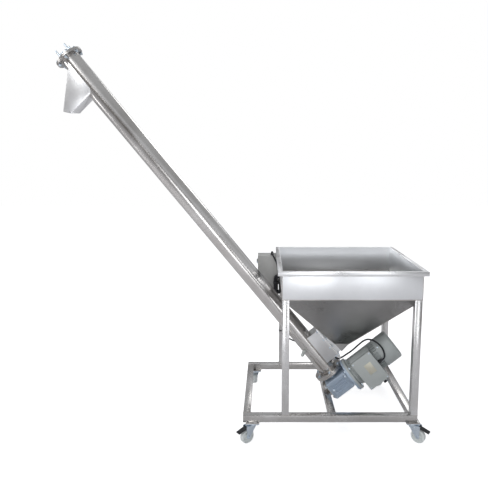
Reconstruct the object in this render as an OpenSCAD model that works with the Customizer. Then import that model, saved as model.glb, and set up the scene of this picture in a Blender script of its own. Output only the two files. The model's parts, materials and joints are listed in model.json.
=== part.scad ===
// Inclined screw auger with a square feed hopper on a four-caster frame.
// Millimetres, +Z up. The object stands on Z = 0 with its origin under the middle of its box.

/* [Frame] */
// Side of the square frame tube
tube_side = 40; // [30:1:50]
// Wall of the square frame tube
tube_wall = 2; // [1.5:0.5:3]
// Outside width of the hopper legs, along X and along Y
leg_span = 760; // [640:10:900]
// How far the base runs past the left legs
base_reach = 217; // [150:1:260]
// Underside of the base rails above the floor
rail_z = 120; // [110:1:150]

/* [Hopper] */
// Height of the hopper rim above the floor
rim_z = 985; // [900:5:1100]
// Height of the straight skirt
skirt_h = 159; // [120:1:200]
// How far the rim stands out from the skirt
rim_out = 23.5; // [15:0.5:30]
// Height of the turned-down rim lip
rim_lip = 23; // [15:1:30]
// Slope of the hopper's lower faces
cone_angle = 48; // [46:0.5:50]
// Sheet thickness of the hopper, the spout, the inlet and the chute
sheet = 2; // [1.5:0.5:3]

/* [Auger] */
// Angle of the auger to the floor
incline = 51; // [48:0.5:54]
// Outside diameter of the auger tube
auger_d = 110; // [90:1:120]
// Wall of the auger tube
auger_wall = 3; // [2:0.5:4]
// Length of the auger tube
auger_len = 2433; // [2000:1:2900]
// Pitch of the screw
pitch = 100; // [70:5:130]
// Outside diameter of the screw shaft
shaft_d = 38; // [30:1:42]
// Gap between the flight and the tube
flight_gap = 2; // [1.5:0.5:4]
// Length of the discharge opening along the tube
outlet_len = 187; // [140:1:200]
// Height of the discharge chute
chute_drop = 247; // [200:1:280]

/* [Drive] */
// Centre distance of the worm gear
centre_dist = 63; // [60:1:70]
// Diameter of the motor body over its fins
motor_d = 176; // [150:1:190]
// Length of the motor from its flange to the end of the fan cover
motor_len = 306; // [260:1:320]
// Diameter of the motor flange
motor_flange_d = 210; // [190:1:216]

/* [Control box] */
// Width of the control box
box_w = 137; // [110:1:150]
// Depth of the control box
box_d = 120; // [100:1:130]
// Height of the control box
box_h = 250; // [200:5:280]

/* [Casters] */
// Wheel diameter
wheel_d = 80; // [70:1:84]
// Wheel width
wheel_w = 26; // [20:1:30]
// How far the axle trails behind the swivel
trail = 40; // [30:1:44]

/* [Hidden] */

$fn = 64;
eps = 1;                       // overrun of every cut
weld_gap = 0.05;               // radial gap of a welded or pressed round seat
run_gap = 0.05;                // radial running clearance of a shaft
slide_gap = 0.4;               // gap between sliding faces

// frame
half = leg_span / 2;
base_left = -half - base_reach;
rail_top = rail_z + tube_side;
skirt_z = rim_z - skirt_h;
cone_drop = half * tan(cone_angle);
apex_z = skirt_z - cone_drop;
cross_x = -112.4;              // left face of the middle cross rail

// auger axis: from the lower end of the tube, up and to the left
foot_x = -72.4;
foot_z = 271.8;
auger_r = auger_d / 2;
bore_r = auger_r - auger_wall;
shaft_r = shaft_d / 2;
flight_r = bore_r - flight_gap;
flange_t = 11;
top_flange_t = 8;
bottom_flange_r = auger_r + 42;
top_flange_r = auger_r + 27;
bottom_bolt_r = auger_r + 27;
top_bolt_r = auger_r + 16;
end_flange_t = 11;
head_plate_t = 8;
bearing_side = 86;
bearing_bolt = 32;             // bearing bolts from its centre, both ways
bearing_h = 30;
stub_r = 15;                   // shaft end in the head bearing
head_top = auger_len + head_plate_t;

// inlet between hopper and tube, along the axis
inlet_s0 = 57;
inlet_s1 = 259;
inlet_half_w = 50;
flange_rim = 18;               // how far the inlet flanges stand out
inlet_flange_t = 4;
gasket_t = 2;
inlet_top = auger_r + 53;      // upper face of the lower inlet flange, from the axis
spout_bottom = inlet_top + gasket_t;
spout_s0 = inlet_s0 + 8;
spout_s1 = inlet_s1 - 14;
spout_half_w = 42;
spout_top = spout_bottom + 82; // past the hopper's lower faces, which cut it off

// clean-out door in the underside of the tube; its angles run from straight below, front positive
door_s0 = 21;
door_s1 = 193;
window_n = -28;                // the window in the tube lies below this
door_r = auger_r + 0.4;
door_wall = 2;
door_front_a = 62;
door_rear_a = -60;
hinge_a = -66;
hinge_r = door_r + door_wall + 6.5;
latch_a = 50;
latch_s = door_s1 + 9;

// discharge
outlet_s1 = auger_len - 57;
outlet_s0 = outlet_s1 - outlet_len;
flight_end = outlet_s0 + 70;
chute_half_w = auger_r - 1;
chute_n = -31;                 // where the chute's end walls meet the tube's underside
chute_lean = 44;               // how far its mouth lies left of its top
chute_mouth = 56;

// gearbox, in the auger's own frame: n up-right, y back, s along the axis
neck_s = -end_flange_t;
gear_s1 = neck_s - 21;
gear_s0 = gear_s1 - 113;
gear_mid = (gear_s0 + gear_s1) / 2;
gear_n0 = -66;
gear_n1 = 78;
gear_y0 = -102;
gear_y1 = 72;
worm_r = 17.7;
wheel_gear_r = centre_dist - worm_r - 0.4;
wheel_chamber_r = wheel_gear_r + 9;
worm_chamber_r = worm_r + 6;
rotor_r = 12;
bracket_t = 4;
bracket_bolt_y = [-85, 55];
bracket_bolt_s = [gear_s0 + 15, gear_s0 + 95];

// motor, along its own axis from the gearbox's face
mf_t = 13;                     // thickness of each of the two mating flanges
mot_z0 = gear_n1 + 10;         // gearbox side of the flanges
mot_z1 = mot_z0 + 2 * mf_t;
fan_z1 = mot_z1 + motor_len;
fan_z0 = fan_z1 - 104;
motor_r = motor_d / 2;
fan_cover_r = motor_r + 4;
tb_x0 = -108;                  // terminal box across the motor
tb_x1 = 94;
tb_z0 = 148;
tb_z1 = 284;
tb_y1 = -motor_r + 34;
tb_y0 = -motor_r - 37;
lid_t = 12;

// control box beside the rear left leg
cb_x1 = -half - 8;
cb_x0 = cb_x1 - box_w;
cb_y0 = half - 107;
cb_y1 = cb_y0 + box_d;
cb_z1 = 945;
cb_z0 = cb_z1 - box_h;
door_t = 4;
door_y = cb_y1 - door_t;
box_wall = 1.5;
hinge_x = cb_x0 - 6;
hinge_y = cb_y1 - 2;
hinge_z = [cb_z0 + 40, cb_z1 - 70];
door_mid_x = (cb_x0 + cb_x1) / 2;
switch_z = cb_z1 - 60;
button_z = switch_z - 70;
stop_z = button_z - 55;

// casters: x, y and turn of each, from the swivel
left_x = base_left + 54;
right_x = half - 24;
side_y = half - 24;
turn_front_left = 217;
turn_front_right = -35;
turn_rear_left = 110;
turn_rear_right = 200;
caster_front_left = [left_x, -side_y, turn_front_left];
caster_front_right = [right_x, -side_y, turn_front_right];
caster_rear_left = [left_x, side_y, turn_rear_left];
caster_rear_right = [right_x, side_y, turn_rear_right];
casters = [caster_front_left, caster_front_right, caster_rear_left, caster_rear_right];
pad_side = 76;
pad_t = 4;
plate_side = 76;
plate_t = 4;
caster_bolt = 28;
plate_z = rail_z - pad_t - plate_t;
race_h = 8;
crown_z = plate_z - race_h;    // top of the turning crown
crown_t = 5;
axle_z = wheel_d / 2;
axle_r = 6;
king_r = 6;
arm_t = 3;
arm_y = wheel_w / 2 + 3;
pedal_z = crown_z - 13;
pedal_x = trail + 8;
pedal_len = 54;
pedal_dip = 18;                // how steeply the released pedal points down
pedal_tip = pedal_x + pedal_len * cos(pedal_dip) + 3;

// the object's middle, so that the origin is under it
left_end = foot_x - head_top * cos(incline) - top_flange_r * sin(incline);
right_end = right_x + pedal_tip * cos(turn_front_right) + arm_y * abs(sin(turn_front_right));
front_end = -side_y + pedal_tip * sin(turn_front_left) - arm_y * abs(cos(turn_front_left));
rear_end = side_y + pedal_tip * sin(turn_rear_left) + arm_y * abs(cos(turn_rear_left));
mid_x = (left_end + right_end) / 2;
mid_y = (front_end + rear_end) / 2;

// motor lead: from the terminal box over the motor, up behind the tube to the rear left leg
cable_r = 5;
lead_low = [
    [222, -160, 395], [233, -160, 404], [238, -160, 418], [235, -160, 440], [224, -158, 466],
    [205, -157, 490], [172, -152, 513], [140, -143, 518], [112, -131, 502], [82, -115, 467],
    [52, -98, 430], [24, -80, 400], [4, -62, 377], [-13, -38, 357], [-24, -14, 347],
    [-30, 16, 343], [-34, 46, 344], [-46, 74, 350], [-72, 98, 356], [-105, 126, 354],
    [-150, 172, 348], [-205, 228, 344], [-258, 282, 344], [-300, 322, 348], [-326, 348, 360],
    [-334, 360, 385], [-334, 360, 430], [-334, 360, 520], [-334, 360, 610], [-334, 358, 664],
    [-334, 346, 700], [-334, 326, 724], [-334, 300, 738], [-336, 276, 746], [-345, 259, 751],
    [-363.8, 254, 752]
];
lead_high = [
    [-392, 254, 822.2], [-392, 254, 850], [-395, 253, 880], [-402, 251, 908], [-412, 250, 930],
    [-421, 254, 946], [-427, 266, 956], [-429, 282, 960], [-429, 306.8, 960]
];
hank_x = -392;
hank_y = 254;
hank_half = 28;
hank_t = 32;
hank_z0 = 692;
hank_z1 = 822;
gland_spot = [-429, 325];      // on the control box's top

// ---------- placing ----------

module placed() {
    translate([-mid_x, -mid_y, 0]) children();
}

// children stand in the auger's own frame
module on_auger() {
    placed() translate([foot_x, 0, foot_z]) rotate([0, incline - 90, 0]) children();
}

// children stand along the motor's axis, Z from the middle of the gearbox towards the fan
module on_motor() {
    on_auger() translate([0, -centre_dist, gear_mid]) rotate([0, 90, 0]) children();
}

module on_caster(c) {
    placed() translate([c[0], c[1], 0]) rotate([0, 0, c[2]]) children();
}

// ---------- shared shapes ----------

module square_tube(size) {
    // a straight tube along the longest of the three sides, open at both ends
    long = max(size);
    w = tube_wall;
    inner = [for (i = [0:2]) size[i] == long ? size[i] + 2 * eps : size[i] - 2 * w];
    offs = [for (i = [0:2]) size[i] == long ? -eps : w];
    difference() {
        cube(size);
        translate(offs) cube(inner);
    }
}

// a box with rounded upright edges
module round_box(size, r) {
    translate([r, 0, 0]) cube([size[0] - 2 * r, size[1], size[2]]);
    translate([0, r, 0]) cube([size[0], size[1] - 2 * r, size[2]]);
    for (x = [r, size[0] - r], y = [r, size[1] - r])
        translate([x, y, 0]) cylinder(r = r, h = size[2]);
}

// the solid outline of the hopper's lower faces, grown by g on every side
module cone_body(g = 0) {
    // a parallel face lies g / cos(angle) lower
    drop = g / cos(cone_angle);
    top = skirt_z + eps;
    reach = (top - apex_z + drop) / tan(cone_angle);
    intersection() {
        rotate([90, 0, 0]) translate([0, 0, -half - 50]) linear_extrude(2 * half + 100)
            polygon([[0, apex_z - drop], [reach, top], [-reach, top]]);
        rotate([90, 0, 90]) translate([0, 0, -half - 50]) linear_extrude(2 * half + 100)
            polygon([[0, apex_z - drop], [reach, top], [-reach, top]]);
    }
}

module hex_bolt(d, grip, tail = 6) {
    // head on Z = 0 and up, shank down through the grip, nut below it
    cylinder(r = 0.9 * d, h = 0.65 * d, $fn = 6);
    translate([0, 0, -grip - tail - 0.8 * d]) cylinder(r = d / 2, h = grip + tail + 0.8 * d + 0.01);
    translate([0, 0, -grip - 0.8 * d]) cylinder(r = 0.9 * d, h = 0.8 * d, $fn = 6);
}

module bolt_holes(r, d, count, start, s, h) {
    for (i = [0:count - 1])
        rotate([0, 0, start + i * 360 / count]) translate([r, 0, s - eps])
            cylinder(r = d / 2, h = h + 2 * eps);
}

// a curved strip on the tube, between two angles measured from straight below towards the front
module tube_strip(r, t, a0, a1, s0, s1) {
    rotate([0, 0, 180 + a0]) rotate_extrude(angle = a1 - a0) translate([r, s0]) square([t, s1 - s0]);
}

// ---------- cable sweep ----------

function unit(v) = v / norm(v);
function spline(p, i, t) =
    let (n = len(p) - 1, a = p[max(i - 1, 0)], b = p[i], c = p[min(i + 1, n)], d = p[min(i + 2, n)])
    0.5 * (2 * b + (c - a) * t + (2 * a - 5 * b + 4 * c - d) * t * t
        + (3 * b - a - 3 * c + d) * t * t * t);
function smooth(p, k) =
    [for (i = [0:len(p) - 2], j = [0:k - 1]) spline(p, i, j / k), p[len(p) - 1]];
function tangent(q, i) = unit(q[min(i + 1, len(q) - 1)] - q[max(i - 1, 0)]);
// each ring's side direction is the last one's, turned as little as the bend asks
function sides(q, i = 0, last = undef, out = []) =
    i == len(q) ? out :
    let (t = tangent(q, i), ref = is_undef(last) ? [0.1, 1, 0.2] : last,
        s = unit(ref - (ref * t) * t))
    sides(q, i + 1, s, concat(out, [s]));

module sweep(points, r, k = 2, n = 8) {
    q = smooth(points, k);
    side = sides(q);
    rings = [for (i = [0:len(q) - 1]) let (t = tangent(q, i), u = side[i], v = cross(t, u))
        for (j = [0:n - 1]) q[i] + r * (cos(j * 360 / n) * u + sin(j * 360 / n) * v)];
    last = (len(q) - 1) * n;
    faces = concat(
        [[for (j = [0:n - 1]) j]],
        [for (i = [0:len(q) - 2], j = [0:n - 1]) let (a = i * n + j, b = i * n + (j + 1) % n)
            each [[a, a + n, b], [b, a + n, b + n]]],
        [[for (j = [n - 1:-1:0]) last + j]]
    );
    polyhedron(points = rings, faces = faces);
}

// ---------- frame ----------

module base_long_rails() {
    color("#b9bab8") placed() for (y = [-half, half - tube_side])
        translate([base_left, y, rail_z]) square_tube([half - base_left, tube_side, tube_side]);
}

module base_cross_rails() {
    color("#8d8880") placed() for (x = [base_left, cross_x, half - tube_side])
        translate([x, -half + tube_side, rail_z])
            square_tube([tube_side, leg_span - 2 * tube_side, tube_side]);
}

module rail_end_caps() {
    inner = tube_side - 2 * tube_wall;
    color("#c9cac9") placed() for (x = [base_left, half - 3], y = [-half, half - tube_side])
        translate([x, y + tube_wall, rail_z + tube_wall]) cube([3, inner, inner]);
}

module hopper_legs() {
    color("#b4b4b1") placed() difference() {
        for (x = [-half, half - tube_side], y = [-half, half - tube_side])
            translate([x, y, rail_top]) square_tube([tube_side, tube_side, skirt_z - rail_top]);
        cone_body();
    }
}

module gearbox_bracket() {
    // a plate under the gearbox, on two webs that stand on the middle cross rail
    color("#a7a6a2") {
        on_auger() difference() {
            translate([gear_n0 - bracket_t - 0.2, -95, gear_s0 + 5]) cube([bracket_t, 160, 100]);
            for (y = bracket_bolt_y, s = bracket_bolt_s)
                translate([gear_n0 - bracket_t - 2, y, s]) rotate([0, 90, 0])
                    cylinder(r = 5.5, h = bracket_t + 4);
        }
        placed() for (y = [-50, 25]) translate([0, y, 0]) rotate([90, 0, 0]) linear_extrude(6) {
            polygon([[cross_x, rail_top], [cross_x + tube_side, rail_top],
                [cross_x + 12, rail_top + 34]]);
            polygon([[cross_x + tube_side, rail_top], [cross_x + tube_side, rail_top - 36],
                [cross_x + tube_side + 29, rail_top - 36]]);
        }
    }
}

module caster_pads() {
    color("#b9bab8") for (c = casters) placed() translate([c[0], c[1], rail_z - pad_t])
        difference() {
            translate([-pad_side / 2, -pad_side / 2, 0]) cube([pad_side, pad_side, pad_t]);
            for (x = [-1, 1], y = [-1, 1]) translate([x * caster_bolt, y * caster_bolt, -eps])
                cylinder(r = 4, h = pad_t + 2 * eps);
        }
}

// ---------- hopper ----------

module hopper_skirt() {
    color("#dfe0e2") placed() translate([0, 0, skirt_z]) difference() {
        translate([-half, -half, 0]) cube([leg_span, leg_span, skirt_h]);
        translate([-half + sheet, -half + sheet, -eps])
            cube([leg_span - 2 * sheet, leg_span - 2 * sheet, skirt_h + 2 * eps]);
    }
}

module hopper_cone() {
    color("#6f6c69") difference() {
        placed() difference() {
            cone_body();
            cone_body(-sheet);
            translate([-half - 60, -half - 60, skirt_z]) cube([leg_span + 120, leg_span + 120, 60]);
        }
        // four plates, mitred where they are welded
        for (a = [45, 135]) placed() rotate([0, 0, a])
            translate([-2 * half, -weld_gap, 0]) cube([4 * half, 2 * weld_gap, skirt_z]);
        // the mouth into the spout, through the left face's foot
        on_auger() translate([inlet_top, -spout_half_w + sheet, spout_s0 + sheet])
            cube([spout_top - inlet_top, 2 * (spout_half_w - sheet),
                spout_s1 - spout_s0 - 2 * sheet]);
    }
    // the front and back plates lap down over the spout's walls, to the tip
    reach = spout_half_w - 0.5;
    lap_top = apex_z + (spout_half_w + sheet) * tan(cone_angle);
    color("#6f6c69") placed() for (turn = [0, 180]) rotate([0, 0, turn])
        translate([0, -spout_half_w - weld_gap, 0]) rotate([90, 0, 0]) linear_extrude(sheet)
            polygon([[0, apex_z], [reach, apex_z + reach * tan(cone_angle)], [reach, lap_top],
                [-reach, lap_top], [-reach, apex_z + reach * tan(cone_angle)]]);
}

module hopper_rim() {
    out = half + rim_out;
    color("#d4d5d6") placed() translate([0, 0, rim_z - rim_lip]) difference() {
        translate([-out, -out, 0]) cube([2 * out, 2 * out, rim_lip]);
        translate([-half, -half, -eps]) cube([leg_span, leg_span, rim_lip + 2 * eps]);
        translate([-out + sheet, -out + sheet, -eps])
            cube([2 * (out - sheet), 2 * (out - sheet), rim_lip - sheet + eps]);
    }
}

// a flange all round the inlet, with an opening from s0 to s1 and half_w to each side
module inlet_flange(n0, t, s0, s1, half_w) {
    rim = flange_rim;
    difference() {
        translate([n0, -inlet_half_w - rim, inlet_s0 - rim])
            cube([t, 2 * (inlet_half_w + rim), inlet_s1 - inlet_s0 + 2 * rim]);
        translate([n0 - eps, -half_w, s0]) cube([t + 2 * eps, 2 * half_w, s1 - s0]);
        for (p = inlet_bolts_at) translate([n0 - eps, p[0], p[1]]) rotate([0, 90, 0])
            cylinder(r = 4.4, h = t + 2 * eps);
    }
}

inlet_bolts_at = [
    for (y = [-1, 1], k = [0:3])
        [y * (inlet_half_w + flange_rim / 2), inlet_s0 + 4 + k * (inlet_s1 - inlet_s0 - 8) / 3]
];

module hopper_spout() {
    color("#c4c5c8") difference() {
        on_auger() {
            difference() {
                translate([spout_bottom, -spout_half_w, spout_s0])
                    cube([spout_top - spout_bottom, 2 * spout_half_w, spout_s1 - spout_s0]);
                translate([spout_bottom - eps, -spout_half_w + sheet, spout_s0 + sheet])
                    cube([100, 2 * (spout_half_w - sheet), spout_s1 - spout_s0 - 2 * sheet]);
            }
            inlet_flange(spout_bottom, inlet_flange_t, spout_s0 + sheet, spout_s1 - sheet,
                spout_half_w - sheet);
        }
        placed() cone_body();
    }
}

module inlet_gasket() {
    color("#e8e6df") on_auger() inlet_flange(inlet_top, gasket_t,
        inlet_s0 + sheet, inlet_s1 - sheet, inlet_half_w - sheet);
}

module inlet_box() {
    color("#a9a9ad") on_auger() difference() {
        union() {
            difference() {
                translate([20, -inlet_half_w, inlet_s0])
                    cube([inlet_top - 20, 2 * inlet_half_w, inlet_s1 - inlet_s0]);
                translate([0, -inlet_half_w + sheet, inlet_s0 + sheet])
                    cube([inlet_top + eps, 2 * (inlet_half_w - sheet),
                        inlet_s1 - inlet_s0 - 2 * sheet]);
            }
            inlet_flange(inlet_top - inlet_flange_t, inlet_flange_t, inlet_s0 + sheet,
                inlet_s1 - sheet, inlet_half_w - sheet);
        }
        translate([0, 0, -eps]) cylinder(r = auger_r + weld_gap, h = 400, $fn = 96);
    }
}

// ---------- auger tube ----------

module auger_tube() {
    color("#a39f98") on_auger() difference() {
        cylinder(r = auger_r, h = auger_len, $fn = 96);
        translate([0, 0, -eps]) cylinder(r = bore_r, h = auger_len + 2 * eps, $fn = 96);
        translate([10, -inlet_half_w + 8, inlet_s0 + 10])
            cube([auger_r, 2 * (inlet_half_w - 8), inlet_s1 - inlet_s0 - 20]);
        translate([-auger_r - 10, -45, outlet_s0 + 5])
            cube([auger_r + 10 + chute_n + 2, 90, outlet_len - 10]);
        translate([-auger_r - 10, -44, door_s0 + 8])
            cube([auger_r + 10 + window_n, 88, door_s1 - door_s0 - 16]);
    }
}

// a bottom flange, with a flat where it passes the motor's flange
module flatted_disc(t) {
    difference() {
        cylinder(r = bottom_flange_r, h = t);
        translate([mot_z0 - 0.5, -bottom_flange_r, -eps])
            cube([bottom_flange_r, 2 * bottom_flange_r, t + 2 * eps]);
    }
}

module tube_flanges() {
    color("#8a857f") on_auger() {
        difference() {
            flatted_disc(flange_t);
            translate([0, 0, -eps]) cylinder(r = auger_r + weld_gap, h = flange_t + 2 * eps, $fn = 96);
            bolt_holes(bottom_bolt_r, 11, 6, 30, 0, flange_t);
        }
        translate([0, 0, auger_len - top_flange_t]) difference() {
            cylinder(r = top_flange_r, h = top_flange_t);
            translate([0, 0, -eps]) cylinder(r = auger_r + weld_gap, h = 2 * top_flange_t, $fn = 96);
            bolt_holes(top_bolt_r, 11, 6, 30, 0, top_flange_t);
        }
    }
}

module end_flange() {
    color("#8f8b86") on_auger() translate([0, 0, -end_flange_t]) difference() {
        flatted_disc(end_flange_t);
        translate([0, 0, -eps]) cylinder(r = shaft_r + run_gap, h = end_flange_t + 2 * eps);
        bolt_holes(bottom_bolt_r, 11, 6, 30, 0, end_flange_t);
    }
}

module head_plate() {
    color("#8a857f") on_auger() translate([0, 0, auger_len]) difference() {
        cylinder(r = top_flange_r, h = head_plate_t);
        translate([0, 0, -eps]) cylinder(r = stub_r + 2, h = head_plate_t + 2 * eps);
        bolt_holes(top_bolt_r, 11, 6, 30, 0, head_plate_t);
        for (x = [-1, 1], y = [-1, 1]) translate([x * bearing_bolt, y * bearing_bolt, -eps])
            cylinder(r = 5.5, h = head_plate_t + 2 * eps);
    }
}

module head_bearing() {
    // a four-bolt flanged bearing: square foot, round housing, the shaft's end shows
    color("#c9cdd0") on_auger() translate([0, 0, head_top]) difference() {
        union() {
            translate([-bearing_side / 2, -bearing_side / 2, 0])
                round_box([bearing_side, bearing_side, 11], 12);
            cylinder(r1 = 36, r2 = 33, h = bearing_h - 3);
            translate([0, 0, bearing_h - 3]) cylinder(r = 27, h = 3);
        }
        translate([0, 0, -eps]) cylinder(r = stub_r + run_gap, h = bearing_h + 2 * eps);
        for (x = [-1, 1], y = [-1, 1]) translate([x * bearing_bolt, y * bearing_bolt, -eps]) {
            cylinder(r = 5.5, h = 20);
            translate([0, 0, 11 + eps]) cylinder(r = 11, h = 20);
        }
    }
}

module hex_bolts() {
    color("#c3c7ca") on_auger() {
        for (i = [0:5]) rotate([0, 0, 30 + i * 60]) {
            translate([bottom_bolt_r, 0, flange_t]) hex_bolt(10, flange_t + end_flange_t);
            translate([top_bolt_r, 0, head_top]) hex_bolt(10, head_plate_t + top_flange_t);
        }
        // bearing bolts, nuts outside
        for (x = [-1, 1], y = [-1, 1])
            translate([x * bearing_bolt, y * bearing_bolt, head_top + 11]) {
                cylinder(r = 9, h = 8, $fn = 6);
                translate([0, 0, -11 - head_plate_t]) cylinder(r = 5, h = 54 + head_plate_t);
            }
        for (p = inlet_bolts_at)
            translate([spout_bottom + inlet_flange_t, p[0], p[1]]) rotate([0, 90, 0])
                hex_bolt(8, 2 * inlet_flange_t + gasket_t, 3);
    }
}

// a point beside the tube, from its foot: s up the axis, n up and to the right of it
function beside(s, n) =
    [-s * cos(incline) + n * sin(incline), s * sin(incline) + n * cos(incline)];

// the chute from the side, its walls moved in by g and its mouth moved down by more
module chute_side(g, more) {
    top_left = beside(outlet_s1, chute_n);
    top_right = beside(outlet_s0, chute_n);
    low_left = top_left + [-chute_lean, -chute_drop];
    low_right = low_left + [chute_mouth, 0];
    run_left = low_left - top_left;
    run_right = low_right - top_right;
    in_right = g * norm(run_right) / abs(run_right[1]);
    up = [0, 60];
    polygon([
        top_left + up + [g, 0], top_left + [g, 0], low_left + more / chute_drop * run_left + [g, 0],
        low_right + more / abs(run_right[1]) * run_right - [in_right, 0],
        top_right - [in_right, 0], top_right + up - [in_right, 0]
    ]);
}

module discharge_chute() {
    w = chute_half_w;
    color("#e4e6e8") difference() {
        placed() translate([foot_x, 0, foot_z]) rotate([90, 0, 0]) difference() {
            translate([0, 0, -w]) linear_extrude(2 * w) chute_side(0, 0);
            translate([0, 0, -w + sheet]) linear_extrude(2 * (w - sheet)) chute_side(sheet, 5);
        }
        // coped to the tube, and nothing above its widest line
        on_auger() translate([0, 0, outlet_s0 - 200]) {
            cylinder(r = auger_r + weld_gap, h = outlet_len + 400, $fn = 96);
            translate([-14, -100, 0]) cube([300, 200, outlet_len + 400]);
        }
    }
}

// ---------- clean-out ----------

// children stand at a radius and an angle from straight below, at s, with X pointing outwards
module below_tube(a, r, s) {
    rotate([0, 0, 180 + a]) translate([r, 0, s]) children();
}

hinge_runs = [[door_s0 + 20, 26], [door_s1 - 46, 26]];
knuckle = 12;

module cleanout_hinge() {
    // two pins beside the window, each on a lug that is welded to the tube
    color("#8f8b86") on_auger() for (run = hinge_runs) {
        below_tube(hinge_a, hinge_r, run[0]) cylinder(r = 2.5, h = run[1]);
        difference() {
            union() {
                below_tube(hinge_a, hinge_r, run[0]) cylinder(r = 5, h = knuckle);
                below_tube(hinge_a - 5, auger_r - 3, run[0]) translate([0, -3, 0])
                    cube([hinge_r - auger_r + 3, 4, knuckle]);
            }
            translate([0, 0, -eps]) cylinder(r = auger_r + weld_gap, h = 400, $fn = 96);
        }
    }
}

module cleanout_door() {
    color("#8e8a85") on_auger() {
        tube_strip(door_r, door_wall, door_rear_a, door_front_a, door_s0, door_s1);
        // the stiff lip of its front edge, and the keeper in its middle
        below_tube(door_front_a - 2, door_r + 0.6, door_s0 + 2) translate([0, -1.5, 0])
            cube([8, 3, door_s1 - door_s0 - 34]);
        below_tube(door_front_a - 9, door_r + 0.6, (door_s0 + door_s1) / 2)
            translate([0, -6, -9]) cube([7, 12, 18]);
        for (run = hinge_runs) difference() {
            union() {
                below_tube(hinge_a, hinge_r, run[0] + knuckle + 0.3) cylinder(r = 5, h = 13);
                below_tube(hinge_a, hinge_r, run[0] + knuckle + 0.3) rotate([0, 0, 136])
                    translate([2, -1.5, 0]) cube([8.9, 3, 13]);
            }
            below_tube(hinge_a, hinge_r, run[0] - eps) cylinder(r = 2.5 + run_gap, h = 40);
        }
    }
}

module cleanout_latch() {
    // a turning lever with a round handle: a quarter turn brings its finger over the door's edge
    color("#c8ccca") on_auger() below_tube(latch_a, 0, latch_s) rotate([0, 90, 0]) {
        translate([0, 0, auger_r + weld_gap]) cylinder(r = 5, h = 5);
        translate([0, 0, door_r + door_wall + 1]) cylinder(r = 8, h = 6);
        translate([-6, -24, door_r + door_wall + 1]) cube([12, 24, 5]);
        translate([0, 0, door_r + door_wall + 5]) cylinder(r1 = 7, r2 = 11, h = 30);
        translate([0, 0, door_r + door_wall + 35]) sphere(r = 11);
    }
}

// ---------- screw ----------

module screw_shaft() {
    // a pipe, open at its lower end, with a solid stub in the head bearing
    low = gear_s0 + 14;
    color("#c7c8c8") on_auger() {
        translate([0, 0, low]) difference() {
            cylinder(r = shaft_r, h = auger_len - 20 - low);
            translate([0, 0, -eps]) cylinder(r = shaft_r - 5, h = auger_len - 50 - low);
        }
        translate([0, 0, auger_len - 21]) cylinder(r = stub_r, h = head_plate_t + bearing_h + 27);
    }
}

module screw_flight() {
    per_turn = 16;
    thick = 3;
    s0 = 20;
    steps = floor((flight_end - s0) / pitch * per_turn);
    // its chords stay outside the shaft
    r0 = (shaft_r + 0.2) / cos(180 / per_turn);
    pts = [for (i = [0:steps]) let (a = i * 360 / per_turn, z = s0 + i * pitch / per_turn)
        for (p = [[flight_r, 0], [r0, 0], [r0, thick], [flight_r, thick]])
            [p[0] * cos(a), p[0] * sin(a), z + p[1]]];
    last = steps * 4;
    faces = concat([[0, 1, 2, 3]],
        [for (i = [0:steps - 1], j = [0:3]) let (a = i * 4 + j, b = i * 4 + (j + 1) % 4)
            // both broad faces are cut along the same diagonal, so that the sheet keeps its thickness
            each j == 2 ? [[a, a + 4, b + 4], [a, b + 4, b]] : [[a, a + 4, b], [b, a + 4, b + 4]]],
        [[last + 3, last + 2, last + 1, last]]);
    color("#bdbdbc") on_auger() {
        polyhedron(points = pts, faces = faces);
        // two flat paddles throw the grain out above the chute
        for (a = [0, 180]) rotate([0, 0, a]) translate([shaft_r, -1.5, flight_end + 14])
            cube([flight_r - shaft_r - 2, 3, outlet_s1 - flight_end - 40]);
    }
}

module worm_wheel() {
    teeth = 30;
    color("#b58a3a") on_auger() translate([0, 0, gear_mid - 14]) difference() {
        cylinder(r = wheel_gear_r, h = 28);
        translate([0, 0, -eps]) cylinder(r = shaft_r + weld_gap, h = 28 + 2 * eps);
        for (i = [0:teeth - 1]) rotate([0, 0, i * 360 / teeth]) translate([wheel_gear_r + 0.6, 0, -eps])
            cylinder(r = 2.6, h = 28 + 2 * eps, $fn = 16);
    }
}

// ---------- gearbox ----------

module gearbox_housing() {
    color("#9fb0c2") on_auger() difference() {
        union() {
            translate([gear_n0, gear_y1, gear_s0]) rotate([90, 0, 0])
                round_box([gear_n1 - gear_n0, gear_s1 - gear_s0, gear_y1 - gear_y0], 11);
            translate([0, 0, gear_s1 - 1]) cylinder(r = 52, h = neck_s - gear_s1 + 1);
            translate([gear_n1 - 1, -centre_dist, gear_mid]) rotate([0, 90, 0])
                cylinder(r = 50, h = mot_z0 - gear_n1 + 1);
            // flange that takes the motor
            translate([mot_z0, -centre_dist, gear_mid]) rotate([0, 90, 0])
                cylinder(r = motor_flange_d / 2, h = mf_t);
        }
        translate([0, 0, gear_s0 - eps]) cylinder(r = wheel_chamber_r, h = 100);
        translate([0, 0, gear_s0 + 90]) cylinder(r = shaft_r + 6, h = 100);
        translate([gear_n0 + 12, -centre_dist, gear_mid]) rotate([0, 90, 0])
            cylinder(r = worm_chamber_r, h = gear_n1 - gear_n0 - 24);
        translate([0, -centre_dist, gear_mid]) rotate([0, 90, 0])
            cylinder(r = rotor_r + run_gap, h = 160);
        // bolt holes of the motor flange
        for (i = [0:3]) translate([mot_z0 - eps, -centre_dist, gear_mid])
            rotate([45 + 90 * i, 0, 0]) translate([0, 0, motor_flange_d / 2 - 14])
                rotate([0, 90, 0]) cylinder(r = 5.5, h = mf_t + 2 * eps);
        // shallow panel in the front face
        translate([-46, gear_y0 - eps, gear_mid - 36]) cube([104, 2.5 + eps, 72]);
    }
}

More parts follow.
